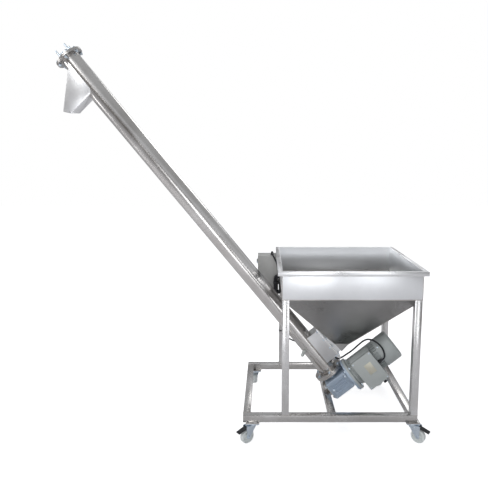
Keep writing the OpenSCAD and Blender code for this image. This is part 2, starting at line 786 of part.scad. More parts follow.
module gearbox_cover() {
    // closes the wheel chamber at the lower end, with ribs
    color("#94a5b8") on_auger() {
        translate([0, 0, gear_s0 - 8]) cylinder(r = wheel_chamber_r + 8, h = 8);
        translate([0, 0, gear_s0 - 0.01]) cylinder(r = wheel_chamber_r - weld_gap, h = 6);
        translate([0, 0, gear_s0 - 12]) cylinder(r = 26, h = 4.01);
    }
}

module cap_screws() {
    color("#8b9096") {
        on_auger() {
            for (i = [0:5]) rotate([0, 0, 30 + i * 60])
                translate([wheel_chamber_r + 3, 0, gear_s0 - 12]) cylinder(r = 3.6, h = 4);
            // gearbox to its bracket
            for (y = bracket_bolt_y, s = bracket_bolt_s)
                translate([gear_n0 - bracket_t - 6.2, y, s]) rotate([0, 90, 0]) {
                    cylinder(r = 8, h = 6, $fn = 6);
                    cylinder(r = 5, h = bracket_t + 6.15);
                }
            // corners of the front panel
            for (n = [gear_n0 + 12, gear_n1 - 12], s = [gear_s0 + 12, gear_s1 - 12])
                translate([n, gear_y0, s]) rotate([90, 0, 0]) cylinder(r = 5, h = 4);
        }
        on_motor() {
            for (x = [tb_x0 + 10, tb_x1 - 10], z = [tb_z0 + 10, tb_z1 - 10])
                translate([x, tb_y0 - lid_t - 2, z]) rotate([-90, 0, 0]) cylinder(r = 4, h = 2);
            // motor flange bolts
            for (i = [0:3]) rotate([0, 0, 45 + 90 * i])
                translate([motor_flange_d / 2 - 14, 0, mot_z0 - 7]) {
                    cylinder(r = 8, h = 7, $fn = 6);
                    cylinder(r = 5, h = 7 + 2 * mf_t);
                    translate([0, 0, 7 + 2 * mf_t]) cylinder(r = 8, h = 8, $fn = 6);
                }
        }
    }
}

// ---------- motor ----------

module motor_flange() {
    // drive-end shield
    color("#8f979d") on_motor() difference() {
        union() {
            translate([0, 0, mot_z0 + mf_t]) cylinder(r = motor_flange_d / 2, h = mf_t);
            translate([0, 0, mot_z1 - 0.01]) cylinder(r = motor_r - 6, h = 14);
        }
        translate([0, 0, mot_z0]) cylinder(r = rotor_r + run_gap, h = 60);
        for (i = [0:3]) rotate([0, 0, 45 + 90 * i])
            translate([motor_flange_d / 2 - 14, 0, mot_z0]) cylinder(r = 5.5, h = 3 * mf_t);
    }
}

module motor_housing() {
    // the finned body, one outline all along
    fins = 28;
    fin_half = 1.3;
    core_r = motor_r - 11;
    z0 = mot_z1 + 14;
    outline = [for (i = [0:fins - 1]) let (a = (i + 0.5) * 360 / fins)
        for (p = [[core_r, -fin_half], [motor_r, -fin_half], [motor_r, fin_half], [core_r, fin_half]])
            [p[0] * cos(a) - p[1] * sin(a), p[0] * sin(a) + p[1] * cos(a)]];
    color("#8d979c") on_motor() translate([0, 0, z0]) difference() {
        linear_extrude(fan_z0 - z0) polygon(outline);
        translate([0, 0, -eps]) cylinder(r = core_r - 9, h = fan_z0 - z0 + 2 * eps);
    }
}

module motor_fan_cover() {
    r = fan_cover_r;
    z0 = fan_z0;
    h = fan_z1 - fan_z0;
    color("#a9b3b1") on_motor() translate([0, 0, z0]) difference() {
        rotate_extrude() polygon(concat(
            [[r - 2, 0], [r, 0]],
            [for (a = [0:15:90]) [r - 14 + 14 * cos(a), h - 14 + 14 * sin(a)]],
            [[0, h], [0, h - 2]],
            [for (a = [90:-15:0]) [r - 14 + 12 * cos(a), h - 14 + 12 * sin(a)]]));
        for (ring = [[22, 8], [36, 12], [50, 18], [64, 22]], i = [0:ring[1] - 1])
            rotate([0, 0, i * 360 / ring[1]]) translate([ring[0], 0, h - 4])
                cylinder(r = 4, h = 6, $fn = 16);
    }
}

module motor_shaft() {
    color("#9da3a8") on_motor() {
        // worm with its thread, then the shaft, the rotor core and the fan end
        translate([0, 0, gear_n0 + 16]) cylinder(r = worm_r - 4, h = 100);
        for (i = [0:9]) translate([0, 0, gear_n0 + 24 + i * 8]) cylinder(r1 = worm_r - 4, r2 = worm_r, h = 2);
        for (i = [0:9]) translate([0, 0, gear_n0 + 26 + i * 8]) cylinder(r1 = worm_r, r2 = worm_r - 4, h = 2);
        translate([0, 0, gear_n0 + 15]) cylinder(r = rotor_r, h = fan_z1 - 12 - gear_n0 - 15);
        translate([0, 0, mot_z1 + 30]) cylinder(r = motor_r - 34, h = fan_z0 - mot_z1 - 50);
    }
}

module motor_fan() {
    z0 = fan_z0 + 20;
    color("#3a3b3d") on_motor() difference() {
        union() {
            translate([0, 0, z0]) cylinder(r = 22, h = 34);
            translate([0, 0, z0]) cylinder(r = 70, h = 3);
            for (i = [0:7]) rotate([0, 0, i * 45]) translate([18, -1.5, z0]) cube([52, 3, 30]);
        }
        translate([0, 0, z0 - eps]) cylinder(r = rotor_r + weld_gap, h = 60);
    }
}

module terminal_box() {
    w = 4;
    color("#a7b2ae") on_motor() difference() {
        translate([tb_x0, tb_y1, tb_z0]) rotate([90, 0, 0])
            round_box([tb_x1 - tb_x0, tb_z1 - tb_z0, tb_y1 - tb_y0], 7);
        translate([tb_x0 + w, tb_y1 - 3, tb_z0 + w]) rotate([90, 0, 0])
            round_box([tb_x1 - tb_x0 - 2 * w, tb_z1 - tb_z0 - 2 * w, tb_y1 - tb_y0], 4);
        // clear of the finned body
        cylinder(r = motor_r + 0.6, h = 400);
        translate([gland_x, gland_y, tb_z1 - 10]) cylinder(r = 8, h = 20);
        translate([tb_x1 - 10, gland_y, spare_z]) rotate([0, 90, 0]) cylinder(r = 8, h = 20);
    }
}

gland_x = 0;
gland_y = -160 + centre_dist;
spare_z = 244;

module terminal_lid() {
    color("#b3bdb8") on_motor() difference() {
        translate([tb_x0, tb_y0, tb_z0]) rotate([90, 0, 0])
            round_box([tb_x1 - tb_x0, tb_z1 - tb_z0, lid_t], 7);
        translate([tb_x0 + 6, tb_y0 + eps, tb_z0 + 6]) rotate([90, 0, 0])
            round_box([tb_x1 - tb_x0 - 12, tb_z1 - tb_z0 - 12, 5], 4);
    }
}

module gland() {
    // Z = 0 is the wall's outside; the cable leaves from its tip along +Z
    translate([0, 0, -8]) cylinder(r = 7.9, h = 8.01);
    cylinder(r = 12, h = 6, $fn = 6);
    translate([0, 0, 6]) cylinder(r = 9.5, h = 6);
    translate([0, 0, 12]) cylinder(r1 = 9.5, r2 = 6.5, h = 10);
}

module cable_glands() {
    color("#303234") {
        on_motor() translate([gland_x, gland_y, tb_z1]) gland();
        // blanked spare in the lower end
        on_motor() translate([tb_x1, gland_y, spare_z]) rotate([0, 90, 0]) {
            translate([0, 0, -8]) cylinder(r = 7.9, h = 8.01);
            cylinder(r = 13, h = 8, $fn = 6);
            translate([0, 0, 8]) cylinder(r = 11, h = 22);
        }
        // elbow on top of the control box, opening to the front
        placed() translate([gland_spot[0], gland_spot[1], cb_z1]) {
            translate([0, 0, -6]) cylinder(r = 7.9, h = 6.01);
            cylinder(r = 11, h = 5, $fn = 6);
            cylinder(r = 9, h = 15);
            translate([0, 0, 15]) sphere(r = 9);
            translate([0, 0, 15]) rotate([90, 0, 0]) cylinder(r = 9, h = 18);
        }
        // blanked supply gland in the bottom of the control box
        placed() translate([door_mid_x, 330, cb_z0]) rotate([180, 0, 0]) {
            translate([0, 0, -6]) cylinder(r = 7.9, h = 6.01);
            cylinder(r = 12, h = 6, $fn = 6);
            translate([0, 0, 6]) cylinder(r = 9.5, h = 16);
        }
    }
}

// ---------- motor lead ----------

module motor_cable() {
    color("#17181a") placed() {
        sweep(lead_low, cable_r);
        sweep(lead_high, cable_r);
    }
}

module cable_hank() {
    // the spare length, folded into a hank and strapped to the control box's front
    r = hank_half;
    color("#20242e") placed() translate([hank_x, hank_y + hank_t / 2, 0]) rotate([90, 0, 0])
        linear_extrude(hank_t) union() {
            translate([-r, hank_z0 + r]) square([2 * r, hank_z1 - hank_z0 - 2 * r]);
            translate([0, hank_z0 + r]) circle(r = r);
            translate([0, hank_z1 - r]) circle(r = r);
        }
}

module cable_ties() {
    // two ties round the rear left leg and the lead beside it
    cable_out = 6;
    color("#1c1d1f") placed() {
        for (z = [400, 462]) difference() {
            translate([-half - 2, half - tube_side - 2, z])
                cube([tube_side + 2 * cable_r + cable_out - 2, tube_side + 4, 7]);
            translate([-half - 0.4, half - tube_side - 0.4, z - eps])
                cube([tube_side + 2 * cable_r + cable_out - 5, tube_side + 0.8, 7 + 2 * eps]);
        }
        // strap round the hank, its back against the control box
        difference() {
            translate([hank_x - hank_half - 2, hank_y - hank_t / 2 - 2, 762])
                cube([2 * hank_half + 4, cb_y0 - hank_y + hank_t / 2 + 1.9, 14]);
            translate([hank_x - hank_half - 0.2, hank_y - hank_t / 2 - 0.2, 762 - eps])
                cube([2 * hank_half + 0.4, hank_t + 0.4, 14 + 2 * eps]);
        }
    }
}

// ---------- control box ----------

module control_box() {
    color("#9c9e9f") placed() difference() {
        translate([cb_x0, cb_y0, cb_z0]) cube([box_w, box_d - door_t - 0.5, box_h]);
        translate([cb_x0 + box_wall, cb_y0 + box_wall, cb_z0 + box_wall])
            cube([box_w - 2 * box_wall, box_d, box_h - 2 * box_wall]);
        translate([gland_spot[0], gland_spot[1], cb_z1 - 10]) cylinder(r = 8, h = 20);
        translate([door_mid_x, 330, cb_z0 - 10]) cylinder(r = 8, h = 20);
    }
}

module box_brackets() {
    // two flat bars from the box's side to the leg
    color("#a9a8a4") placed() for (z = [cb_z0 + 45, cb_z1 - 75])
        translate([cb_x1, half - 25, z]) cube([-half - cb_x1, 5, 30]);
}

module box_hinge_pins() {
    color("#8b9096") placed() for (z = hinge_z) translate([hinge_x, hinge_y, z]) {
        cylinder(r = 2.5, h = 30);
        difference() {
            cylinder(r = 5, h = 10);
            translate([0, 0, -eps]) cylinder(r = 2.4, h = 12);
        }
        translate([0, -9.5, 0]) cube([4.9, 8, 10]);
        translate([0, -9.5, 0]) cube([6, 5, 10]);
    }
}

module control_door() {
    color("#a6a8a9") placed() {
        difference() {
            translate([cb_x0, door_y, cb_z0]) cube([box_w, door_t, box_h]);
            for (z = [switch_z, button_z, stop_z]) translate([door_mid_x, door_y - eps, z])
                rotate([-90, 0, 0]) cylinder(r = z == switch_z ? 6 + run_gap : 9 + run_gap, h = 20);
        }
        for (z = hinge_z) translate([hinge_x, hinge_y, z + 10.3]) {
            difference() {
                union() {
                    cylinder(r = 5, h = 19.4);
                    translate([0, -1.5, 0]) cube([7, 3, 19.4]);
                }
                translate([0, 0, -eps]) cylinder(r = 2.5 + run_gap, h = 30);
            }
        }
    }
}

module main_switch() {
    color("#26282b") placed() translate([door_mid_x, cb_y1 + 0.4, switch_z]) rotate([-90, 0, 0]) {
        cylinder(r = 19, h = 7);
        translate([-5, -17, 7]) cube([10, 34, 12]);
        translate([0, 0, -14]) cylinder(r = 6, h = 15);
    }
}

module button(z, head_r, h) {
    placed() translate([door_mid_x, cb_y1 + 3.2, z]) rotate([-90, 0, 0]) {
        cylinder(r = head_r, h = h);
        translate([0, 0, -18]) cylinder(r = 9, h = 19);
    }
}

module start_button() {
    color("#2f8a46") button(button_z, 11, 5);
}

module stop_button() {
    color("#c8281f") button(stop_z, 16, 12);
}

// ---------- casters ----------

module caster_plates() {
    color("#a9b4bd") for (c = casters) {
        placed() translate([c[0], c[1], 0]) {
            translate([-plate_side / 2, -plate_side / 2, plate_z])
                cube([plate_side, plate_side, plate_t]);
            translate([0, 0, plate_z - race_h + 0.4]) cylinder(r = 24, h = race_h - 0.39);
            translate([0, 0, crown_z - crown_t - 6]) cylinder(r = king_r, h = crown_t + 6 + race_h);
            translate([0, 0, crown_z - crown_t - 6]) cylinder(r = 10, h = 5.6);
            for (x = [-1, 1], y = [-1, 1]) translate([x * caster_bolt, y * caster_bolt, plate_z - 5])
                cylinder(r = 7, h = 5.01, $fn = 6);
        }
    }
}

module fork() {
    top = crown_z - crown_t;
    difference() {
        union() {
            translate([0, 0, top]) cylinder(r = 26, h = crown_t);
            translate([0, -arm_y - arm_t, top]) cube([trail + 6, 2 * (arm_y + arm_t), crown_t]);
        }
        translate([0, 0, top - eps]) cylinder(r = king_r + run_gap, h = crown_t + 2 * eps);
    }
    for (y = [-arm_y - arm_t, arm_y]) translate([0, y + arm_t, 0]) rotate([90, 0, 0])
        linear_extrude(arm_t) union() {
            polygon([[-14, top + 0.01], [trail + 8, top + 0.01], [trail + 12, axle_z], [trail - 12, axle_z]]);
            translate([trail, axle_z]) circle(r = 12);
        }
    // axle with its head and nut
    translate([trail, 0, axle_z]) rotate([90, 0, 0]) translate([0, 0, -arm_y - arm_t - 7])
        cylinder(r = axle_r, h = 2 * (arm_y + arm_t) + 14);
    for (y = [-1, 1]) translate([trail, y * (arm_y + arm_t + 2.5), axle_z]) rotate([90, 0, 0])
        cylinder(r = 9, h = 5, center = true, $fn = 6);
    // pivot of the brake pedal
    translate([pedal_x, -arm_y - arm_t, pedal_z]) rotate([-90, 0, 0])
        cylinder(r = 3, h = 2 * (arm_y + arm_t));
    for (y = [-1, 1]) translate([pedal_x - 10, y > 0 ? arm_y : -arm_y - arm_t, pedal_z - 10])
        cube([16, arm_t, 21]);
}

module caster_wheel() {
    r = wheel_d / 2;
    w = wheel_w / 2;
    translate([trail, 0, axle_z]) rotate([90, 0, 0]) difference() {
        rotate_extrude() polygon([[axle_r + run_gap, -w - 2], [16, -w - 2], [18, -w + 5], [r - 12, -w + 5],
            [r - 9, -w], [r - 3, -w], [r, -w + 4], [r, w - 4], [r - 3, w], [r - 9, w],
            [r - 12, w - 5], [18, w - 5], [16, w + 2], [axle_r + run_gap, w + 2]]);
    }
}

module brake_pedal() {
    w = arm_y - 0.6;
    color("#3b3d3f") translate([pedal_x, 0, pedal_z]) rotate([0, pedal_dip, 0]) difference() {
        union() {
            rotate([90, 0, 0]) translate([0, 0, -w]) cylinder(r = 6, h = 2 * w);
            translate([0, -w, -1]) cube([pedal_len, 2 * w, 6]);
            translate([pedal_len, -w, 2]) rotate([-90, 0, 0]) cylinder(r = 3, h = 2 * w);
        }
        rotate([90, 0, 0]) translate([0, 0, -arm_y]) cylinder(r = 3 + run_gap, h = 2 * arm_y);
    }
}

module fork_front_left() { color("#a8b8c4") on_caster(caster_front_left) fork(); }
module fork_front_right() { color("#a8b8c4") on_caster(caster_front_right) fork(); }
module fork_rear_left() { color("#a8b8c4") on_caster(caster_rear_left) fork(); }
module fork_rear_right() { color("#a8b8c4") on_caster(caster_rear_right) fork(); }
module wheel_front_left() { color("#dfe3e1") on_caster(caster_front_left) caster_wheel(); }
module wheel_front_right() { color("#dfe3e1") on_caster(caster_front_right) caster_wheel(); }
module wheel_rear_left() { color("#dfe3e1") on_caster(caster_rear_left) caster_wheel(); }
module wheel_rear_right() { color("#dfe3e1") on_caster(caster_rear_right) caster_wheel(); }
module pedal_front_left() { on_caster(caster_front_left) brake_pedal(); }
module pedal_front_right() { on_caster(caster_front_right) brake_pedal(); }
module pedal_rear_left() { on_caster(caster_rear_left) brake_pedal(); }
module pedal_rear_right() { on_caster(caster_rear_right) brake_pedal(); }

base_long_rails();
base_cross_rails();
rail_end_caps();
hopper_legs();
gearbox_bracket();
caster_pads();
hopper_skirt();
hopper_cone();
hopper_rim();
hopper_spout();
inlet_gasket();
inlet_box();
auger_tube();
tube_flanges();
end_flange();
head_plate();
head_bearing();
hex_bolts();
discharge_chute();
cleanout_hinge();
cleanout_door();
cleanout_latch();
screw_shaft();
screw_flight();
worm_wheel();
gearbox_housing();
gearbox_cover();
cap_screws();
motor_flange();
motor_housing();
motor_fan_cover();
motor_shaft();
motor_fan();
terminal_box();
terminal_lid();
cable_glands();
motor_cable();
cable_hank();
cable_ties();
control_box();
box_brackets();
box_hinge_pins();
control_door();
main_switch();
start_button();
stop_button();
caster_plates();
fork_front_left();
fork_front_right();
fork_rear_left();
fork_rear_right();
wheel_front_left();
wheel_front_right();
wheel_rear_left();
wheel_rear_right();
pedal_front_left();
pedal_front_right();
pedal_rear_left();
pedal_rear_right();
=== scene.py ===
import bpy
import json
from math import cos, pi, radians, sin
from mathutils import Euler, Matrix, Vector

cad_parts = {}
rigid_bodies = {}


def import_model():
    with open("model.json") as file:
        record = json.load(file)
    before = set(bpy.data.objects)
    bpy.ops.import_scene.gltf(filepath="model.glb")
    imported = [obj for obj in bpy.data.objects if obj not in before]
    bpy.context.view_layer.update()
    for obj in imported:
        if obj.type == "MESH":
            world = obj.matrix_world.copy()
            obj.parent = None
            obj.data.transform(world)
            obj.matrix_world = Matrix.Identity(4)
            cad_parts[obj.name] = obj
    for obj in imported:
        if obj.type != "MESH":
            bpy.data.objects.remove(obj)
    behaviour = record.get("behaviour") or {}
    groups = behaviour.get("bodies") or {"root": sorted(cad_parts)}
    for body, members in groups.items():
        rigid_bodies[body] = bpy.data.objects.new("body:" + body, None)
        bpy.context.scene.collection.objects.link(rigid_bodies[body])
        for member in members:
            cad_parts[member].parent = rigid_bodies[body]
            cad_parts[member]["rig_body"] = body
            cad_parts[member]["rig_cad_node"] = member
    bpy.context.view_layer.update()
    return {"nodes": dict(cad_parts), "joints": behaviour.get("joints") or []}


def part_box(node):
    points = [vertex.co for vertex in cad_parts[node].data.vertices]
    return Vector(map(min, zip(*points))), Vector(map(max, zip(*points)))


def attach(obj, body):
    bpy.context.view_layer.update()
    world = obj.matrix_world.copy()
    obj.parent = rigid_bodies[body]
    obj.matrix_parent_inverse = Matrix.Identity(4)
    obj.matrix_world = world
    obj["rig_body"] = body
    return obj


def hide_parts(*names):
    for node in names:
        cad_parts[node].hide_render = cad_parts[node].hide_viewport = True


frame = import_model()
nodes = frame["nodes"]
joints = {j["name"]: j for j in frame["joints"]}
print("frame loaded:", len(nodes), "nodes")


augerFoot = Vector(joints["screw_spin"]["pos_m"])
augerUp = Vector(joints["screw_spin"]["axis"])
augerOut = Vector(joints["rotor_spin"]["axis"])
motorFoot = Vector(joints["rotor_spin"]["pos_m"])
skirtLow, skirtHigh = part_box("hopper_skirt")
middle = (skirtLow + skirtHigh) / 2
middle.z = 0
mm = 0.001


def aimed(direction):
    # the turn that lays a piece's own Z along a direction
    return Vector((0, 0, 1)).rotation_difference(direction).to_euler()


augerTurn = aimed(augerUp)
motorTurn = aimed(augerOut)
flat = Euler((0, 0, 0))
facingBack = Euler((pi / 2, 0, 0))


def onAuger(n, y, s):
    # millimetres: n up and right of the tube's axis, y back, s up along it
    return augerFoot + augerOut * n * mm + Vector((0, y * mm, 0)) + augerUp * s * mm


def onMotor(x, y, z):
    # millimetres: x down the tube, y back, z along the motor's axis
    return motorFoot - augerUp * x * mm + Vector((0, y * mm, 0)) + augerOut * z * mm


def onFrame(x, y, z):
    # millimetres from the hopper's middle, on the floor
    return middle + Vector((x, y, z)) * mm


cameraSetup = {
    "place": (-455, -2972, 1557.3),
    "tilt": 81.751,
    "lens": 36.47,
    "sensor": 36,
    "shift": (-0.0498, -0.0185),
}


def makeCamera(setup):
    bpy.ops.object.camera_add(
        location=onFrame(*setup["place"]),
        rotation=(radians(setup["tilt"]), 0, 0),
    )
    camera = bpy.context.object
    camera.data.lens = setup["lens"]
    camera.data.sensor_width = setup["sensor"]
    camera.data.shift_x, camera.data.shift_y = setup["shift"]
    bpy.context.scene.camera = camera


makeCamera(cameraSetup)


def addNode(tree, kind, **values):
    node = tree.nodes.new(kind)
    for name, value in values.items():
        setattr(node, name, value)
    return node


def newGroup(name, inputs):
    # every group here puts out a colour, a roughness and a normal
    group = bpy.data.node_groups.new(name, "ShaderNodeTree")
    outputs = [
        ("Color", "NodeSocketColor"),
        ("Roughness", "NodeSocketFloat"),
        ("Normal", "NodeSocketVector"),
    ]
    for label, kind, value in inputs:
        socket = group.interface.new_socket(label, in_out="INPUT", socket_type=kind)
        if value is not None:
            socket.default_value = value
    for label, kind in outputs:
        group.interface.new_socket(label, in_out="OUTPUT", socket_type=kind)
    return group, group.nodes.new("NodeGroupInput"), group.nodes.new("NodeGroupOutput")


def makeBrushGroup():
    # fine drawn lines, broad cloudy patches and small smudges on sheet steel
    group, start, end = newGroup(
        "brushedSteel",
        [
            ("Vector", "NodeSocketVector", None),
            ("Light", "NodeSocketColor", (0.8, 0.8, 0.8, 1)),
            ("Dark", "NodeSocketColor", (0.4, 0.4, 0.4, 1)),
            ("Roughness", "NodeSocketFloat", 0.3),
            ("Spread", "NodeSocketFloat", 0.1),
            ("Depth", "NodeSocketFloat", 0.1),
        ],
    )
    link = group.links.new
    lines = addNode(group, "ShaderNodeTexNoise")
    lines.inputs["Scale"].default_value = 60
    lines.inputs["Detail"].default_value = 3
    place = addNode(group, "ShaderNodeTexCoord")
    clouds = addNode(group, "ShaderNodeTexNoise")
    clouds.inputs["Scale"].default_value = 5
    clouds.inputs["Detail"].default_value = 4
    link(start.outputs["Vector"], lines.inputs["Vector"])
    link(place.outputs["Object"], clouds.inputs["Vector"])
    both = addNode(group, "ShaderNodeMath", operation="MULTIPLY_ADD")
    link(lines.outputs["Fac"], both.inputs[0])
    both.inputs[1].default_value = 0.35
    link(clouds.outputs["Fac"], both.inputs[2])
    level = addNode(group, "ShaderNodeMapRange")
    level.inputs["From Min"].default_value = 0.4
    level.inputs["From Max"].default_value = 0.95
    link(both.outputs[0], level.inputs["Value"])
    tint = addNode(group, "ShaderNodeMix", data_type="RGBA")
    link(level.outputs["Result"], tint.inputs["Factor"])
    link(start.outputs["Dark"], tint.inputs["A"])
    link(start.outputs["Light"], tint.inputs["B"])
    rough = addNode(group, "ShaderNodeMath", operation="MULTIPLY_ADD")
    link(level.outputs["Result"], rough.inputs[0])
    link(start.outputs["Spread"], rough.inputs[1])
    link(start.outputs["Roughness"], rough.inputs[2])
    bump = addNode(group, "ShaderNodeBump")
    bump.inputs["Distance"].default_value = 0.00008
    link(start.outputs["Depth"], bump.inputs["Strength"])
    link(lines.outputs["Fac"], bump.inputs["Height"])
    link(tint.outputs["Result"], end.inputs["Color"])
    link(rough.outputs[0], end.inputs["Roughness"])
    link(bump.outputs["Normal"], end.inputs["Normal"])
    return group


def makeSkinGroup():
    # the skin of paint, castings, rubber and plastic: orange peel, mottling and settled dust
    group, start, end = newGroup(
        "paintSkin",
        [
            ("Color", "NodeSocketColor", (0.5, 0.5, 0.5, 1)),
            ("Worn", "NodeSocketColor", (0.3, 0.3, 0.3, 1)),
            ("Roughness", "NodeSocketFloat", 0.45),
            ("Grain", "NodeSocketFloat", 350),
            ("Depth", "NodeSocketFloat", 0.15),
        ],
    )
    link = group.links.new
    place = addNode(group, "ShaderNodeTexCoord")
    grain = addNode(group, "ShaderNodeTexNoise")
    grain.inputs["Detail"].default_value = 2
    link(start.outputs["Grain"], grain.inputs["Scale"])
    link(place.outputs["Object"], grain.inputs["Vector"])
    patches = addNode(group, "ShaderNodeTexNoise")
    patches.inputs["Scale"].default_value = 14
    patches.inputs["Detail"].default_value = 6
    link(place.outputs["Object"], patches.inputs["Vector"])
    level = addNode(group, "ShaderNodeMapRange")
    level.inputs["From Min"].default_value = 0.5
    level.inputs["From Max"].default_value = 0.8
    level.inputs["To Max"].default_value = 0.5
    link(patches.outputs["Fac"], level.inputs["Value"])
    tint = addNode(group, "ShaderNodeMix", data_type="RGBA")
    link(level.outputs["Result"], tint.inputs["Factor"])
    link(start.outputs["Color"], tint.inputs["A"])
    link(start.outputs["Worn"], tint.inputs["B"])
    rough = addNode(group, "ShaderNodeMath", operation="MULTIPLY_ADD")
    link(patches.outputs["Fac"], rough.inputs[0])
    rough.inputs[1].default_value = 0.18
    link(start.outputs["Roughness"], rough.inputs[2])
    bump = addNode(group, "ShaderNodeBump")
    bump.inputs["Distance"].default_value = 0.0003
    link(start.outputs["Depth"], bump.inputs["Strength"])
    link(grain.outputs["Fac"], bump.inputs["Height"])
    link(tint.outputs["Result"], end.inputs["Color"])
    link(rough.outputs[0], end.inputs["Roughness"])
    link(bump.outputs["Normal"], end.inputs["Normal"])
    return group


brushGroup = makeBrushGroup()
skinGroup = makeSkinGroup()


def blankMaterial(name):
    material = bpy.data.materials.new(name)
    material.use_nodes = True
    tree = material.node_tree
    return material, tree, tree.nodes["Principled BSDF"]


def useGroup(tree, shader, group, values):
    effect = addNode(tree, "ShaderNodeGroup", node_tree=group)
    for label, value in values.items():
        effect.inputs[label].default_value = value
    tree.links.new(effect.outputs["Color"], shader.inputs["Base Color"])
    tree.links.new(effect.outputs["Roughness"], shader.inputs["Roughness"])
    tree.links.new(effect.outputs["Normal"], shader.inputs["Normal"])
    return effect


def steelMaterial(
    name, light, dark, roughness, spread=0.12, depth=0.12, stretch=(1, 1, 14), turn=(0, 0, 0)
):
    # stretch makes the drawn lines run across the axis with the largest value
    material, tree, shader = blankMaterial(name)
    shader.inputs["Metallic"].default_value = 1
    effect = useGroup(
        tree,
        shader,
        brushGroup,
        {
            "Light": light,
            "Dark": dark,
            "Roughness": roughness,
            "Spread": spread,
            "Depth": depth,
        },
    )
    place = addNode(tree, "ShaderNodeTexCoord")
    mapping = addNode(tree, "ShaderNodeMapping", vector_type="TEXTURE")
    mapping.inputs["Rotation"].default_value = turn
    mapping.inputs["Scale"].default_value = [1 / v for v in stretch]
    tree.links.new(place.outputs["Object"], mapping.inputs["Vector"])
    tree.links.new(mapping.outputs["Vector"], effect.inputs["Vector"])
    return material


def skinMaterial(
    name, colour, worn, roughness, grain=350, depth=0.15, metallic=0.0, coat=0.0, soft=0.0
):
    material, tree, shader = blankMaterial(name)
    shader.inputs["Metallic"].default_value = metallic
    shader.inputs["Coat Weight"].default_value = coat
    shader.inputs["Subsurface Weight"].default_value = soft
    shader.inputs["Subsurface Radius"].default_value = (0.01, 0.01, 0.01)
    useGroup(
        tree,
        shader,
        skinGroup,
        {
            "Color": colour,
            "Worn": worn,
            "Roughness": roughness,
            "Grain": grain,
            "Depth": depth,
        },
    )
    return material


def grey(level, warm=0.0):
    return (level * (1 + warm), level, level * (1 - warm), 1)


upright = (14, 14, 1)  # drawn lines that run up and down
steels = {
    # light and dark side of the drawn surface, roughness, and what differs from plain sheet
    "frameSteel": (grey(0.66, 0.015), grey(0.44, 0.04), 0.2, {}),
    "legSteel": (grey(0.84), grey(0.62, 0.02), 0.2, {"stretch": upright}),
    "skirtSteel": (grey(0.97, -0.015), grey(0.88, -0.015), 0.3, {"stretch": upright}),
    "rimSteel": (grey(0.93, -0.01), grey(0.78), 0.24, {}),
    # the cone's sheet is a darker copy of the hopper's steel: painted shade for the shadow under
    # the rim and the dark floor it mirrors
    "coneSteelPaintedShade": (grey(0.5, 0.01), grey(0.36, 0.02), 0.24, {"stretch": (12, 1, 12)}),
    "ductSteel": (grey(0.92, -0.015), grey(0.74), 0.3, {}),
    "tubeSteel": (grey(0.74, 0.02), grey(0.52, 0.04), 0.15, {"turn": augerTurn}),
    "turnedSteel": (grey(0.66, 0.02), grey(0.42, 0.04), 0.22, {"turn": augerTurn}),
    "chuteSteel": (grey(0.98, -0.01), grey(0.9), 0.3, {}),
    "weldSteel": (grey(0.66, 0.03), grey(0.36, 0.08), 0.3, {"depth": 0.5, "stretch": (3, 3, 3)}),
}
skins = {
    # colour, worn colour, roughness, and what differs from plain paint
    "zincPlate": (
        (0.68, 0.76, 0.84), (0.5, 0.55, 0.6), 0.2, {"grain": 220, "depth": 0.08, "metallic": 1},
    ),
    "gearboxPaint": (
        (0.42, 0.5, 0.6), (0.3, 0.36, 0.44), 0.36, {"grain": 240, "depth": 0.35, "metallic": 0.3},
    ),
    "motorPaint": (
        (0.43, 0.46, 0.455), (0.31, 0.335, 0.33), 0.34, {"grain": 300, "depth": 0.2, "coat": 0.15},
    ),
    "lidPaint": (
        (0.46, 0.49, 0.48), (0.37, 0.4, 0.39), 0.32, {"grain": 300, "depth": 0.16, "coat": 0.2},
    ),
    "boxPaint": ((0.47, 0.47, 0.455), (0.37, 0.37, 0.36), 0.4, {"grain": 420, "depth": 0.3}),
    "blackPlastic": ((0.018, 0.019, 0.021), (0.04, 0.04, 0.042), 0.4, {}),
    "cableSheath": ((0.012, 0.013, 0.018), (0.03, 0.03, 0.034), 0.42, {"grain": 500}),
    "gasketRubber": ((0.62, 0.6, 0.55), (0.45, 0.43, 0.38), 0.6, {}),
    "paleKnob": ((0.56, 0.59, 0.57), (0.44, 0.46, 0.45), 0.3, {"coat": 0.3}),
    "bronze": ((0.5, 0.32, 0.12), (0.34, 0.2, 0.07), 0.3, {"metallic": 1}),
    "greenCap": ((0.02, 0.26, 0.07), (0.02, 0.18, 0.05), 0.22, {"depth": 0.03, "coat": 0.5}),
    "redCap": ((0.55, 0.02, 0.012), (0.4, 0.02, 0.012), 0.22, {"depth": 0.03, "coat": 0.5}),
    "wheelPlastic": (
        (0.74, 0.77, 0.76), (0.55, 0.58, 0.58), 0.3,
        {"grain": 200, "depth": 0.06, "coat": 0.2, "soft": 0.35},
    ),
    "plate": ((0.62, 0.6, 0.5), (0.5, 0.48, 0.4), 0.25, {"depth": 0.04, "metallic": 0.6}),
}
finish = {}
for look, (light, dark, roughness, extra) in steels.items():
    finish[look] = steelMaterial(look, light, dark, roughness, **extra)
for look, (colour, worn, roughness, extra) in skins.items():
    finish[look] = skinMaterial(look, (*colour, 1), (*worn, 1), roughness, **extra)
print("materials:", len(finish))


def only(piece):
    bpy.ops.object.select_all(action="DESELECT")
    piece.select_set(True)
    bpy.context.view_layer.objects.active = piece


def settle(piece):
    only(piece)
    bpy.ops.object.transform_apply(location=True, rotation=True, scale=True)


def bevelEdges(piece, width, angle=35):
    only(piece)
    modifier = piece.modifiers.new("bevel", "BEVEL")
    modifier.width = width
    modifier.segments = 2
    modifier.limit_method = "ANGLE"
    modifier.angle_limit = radians(angle)
    bpy.ops.object.modifier_apply(modifier="bevel")


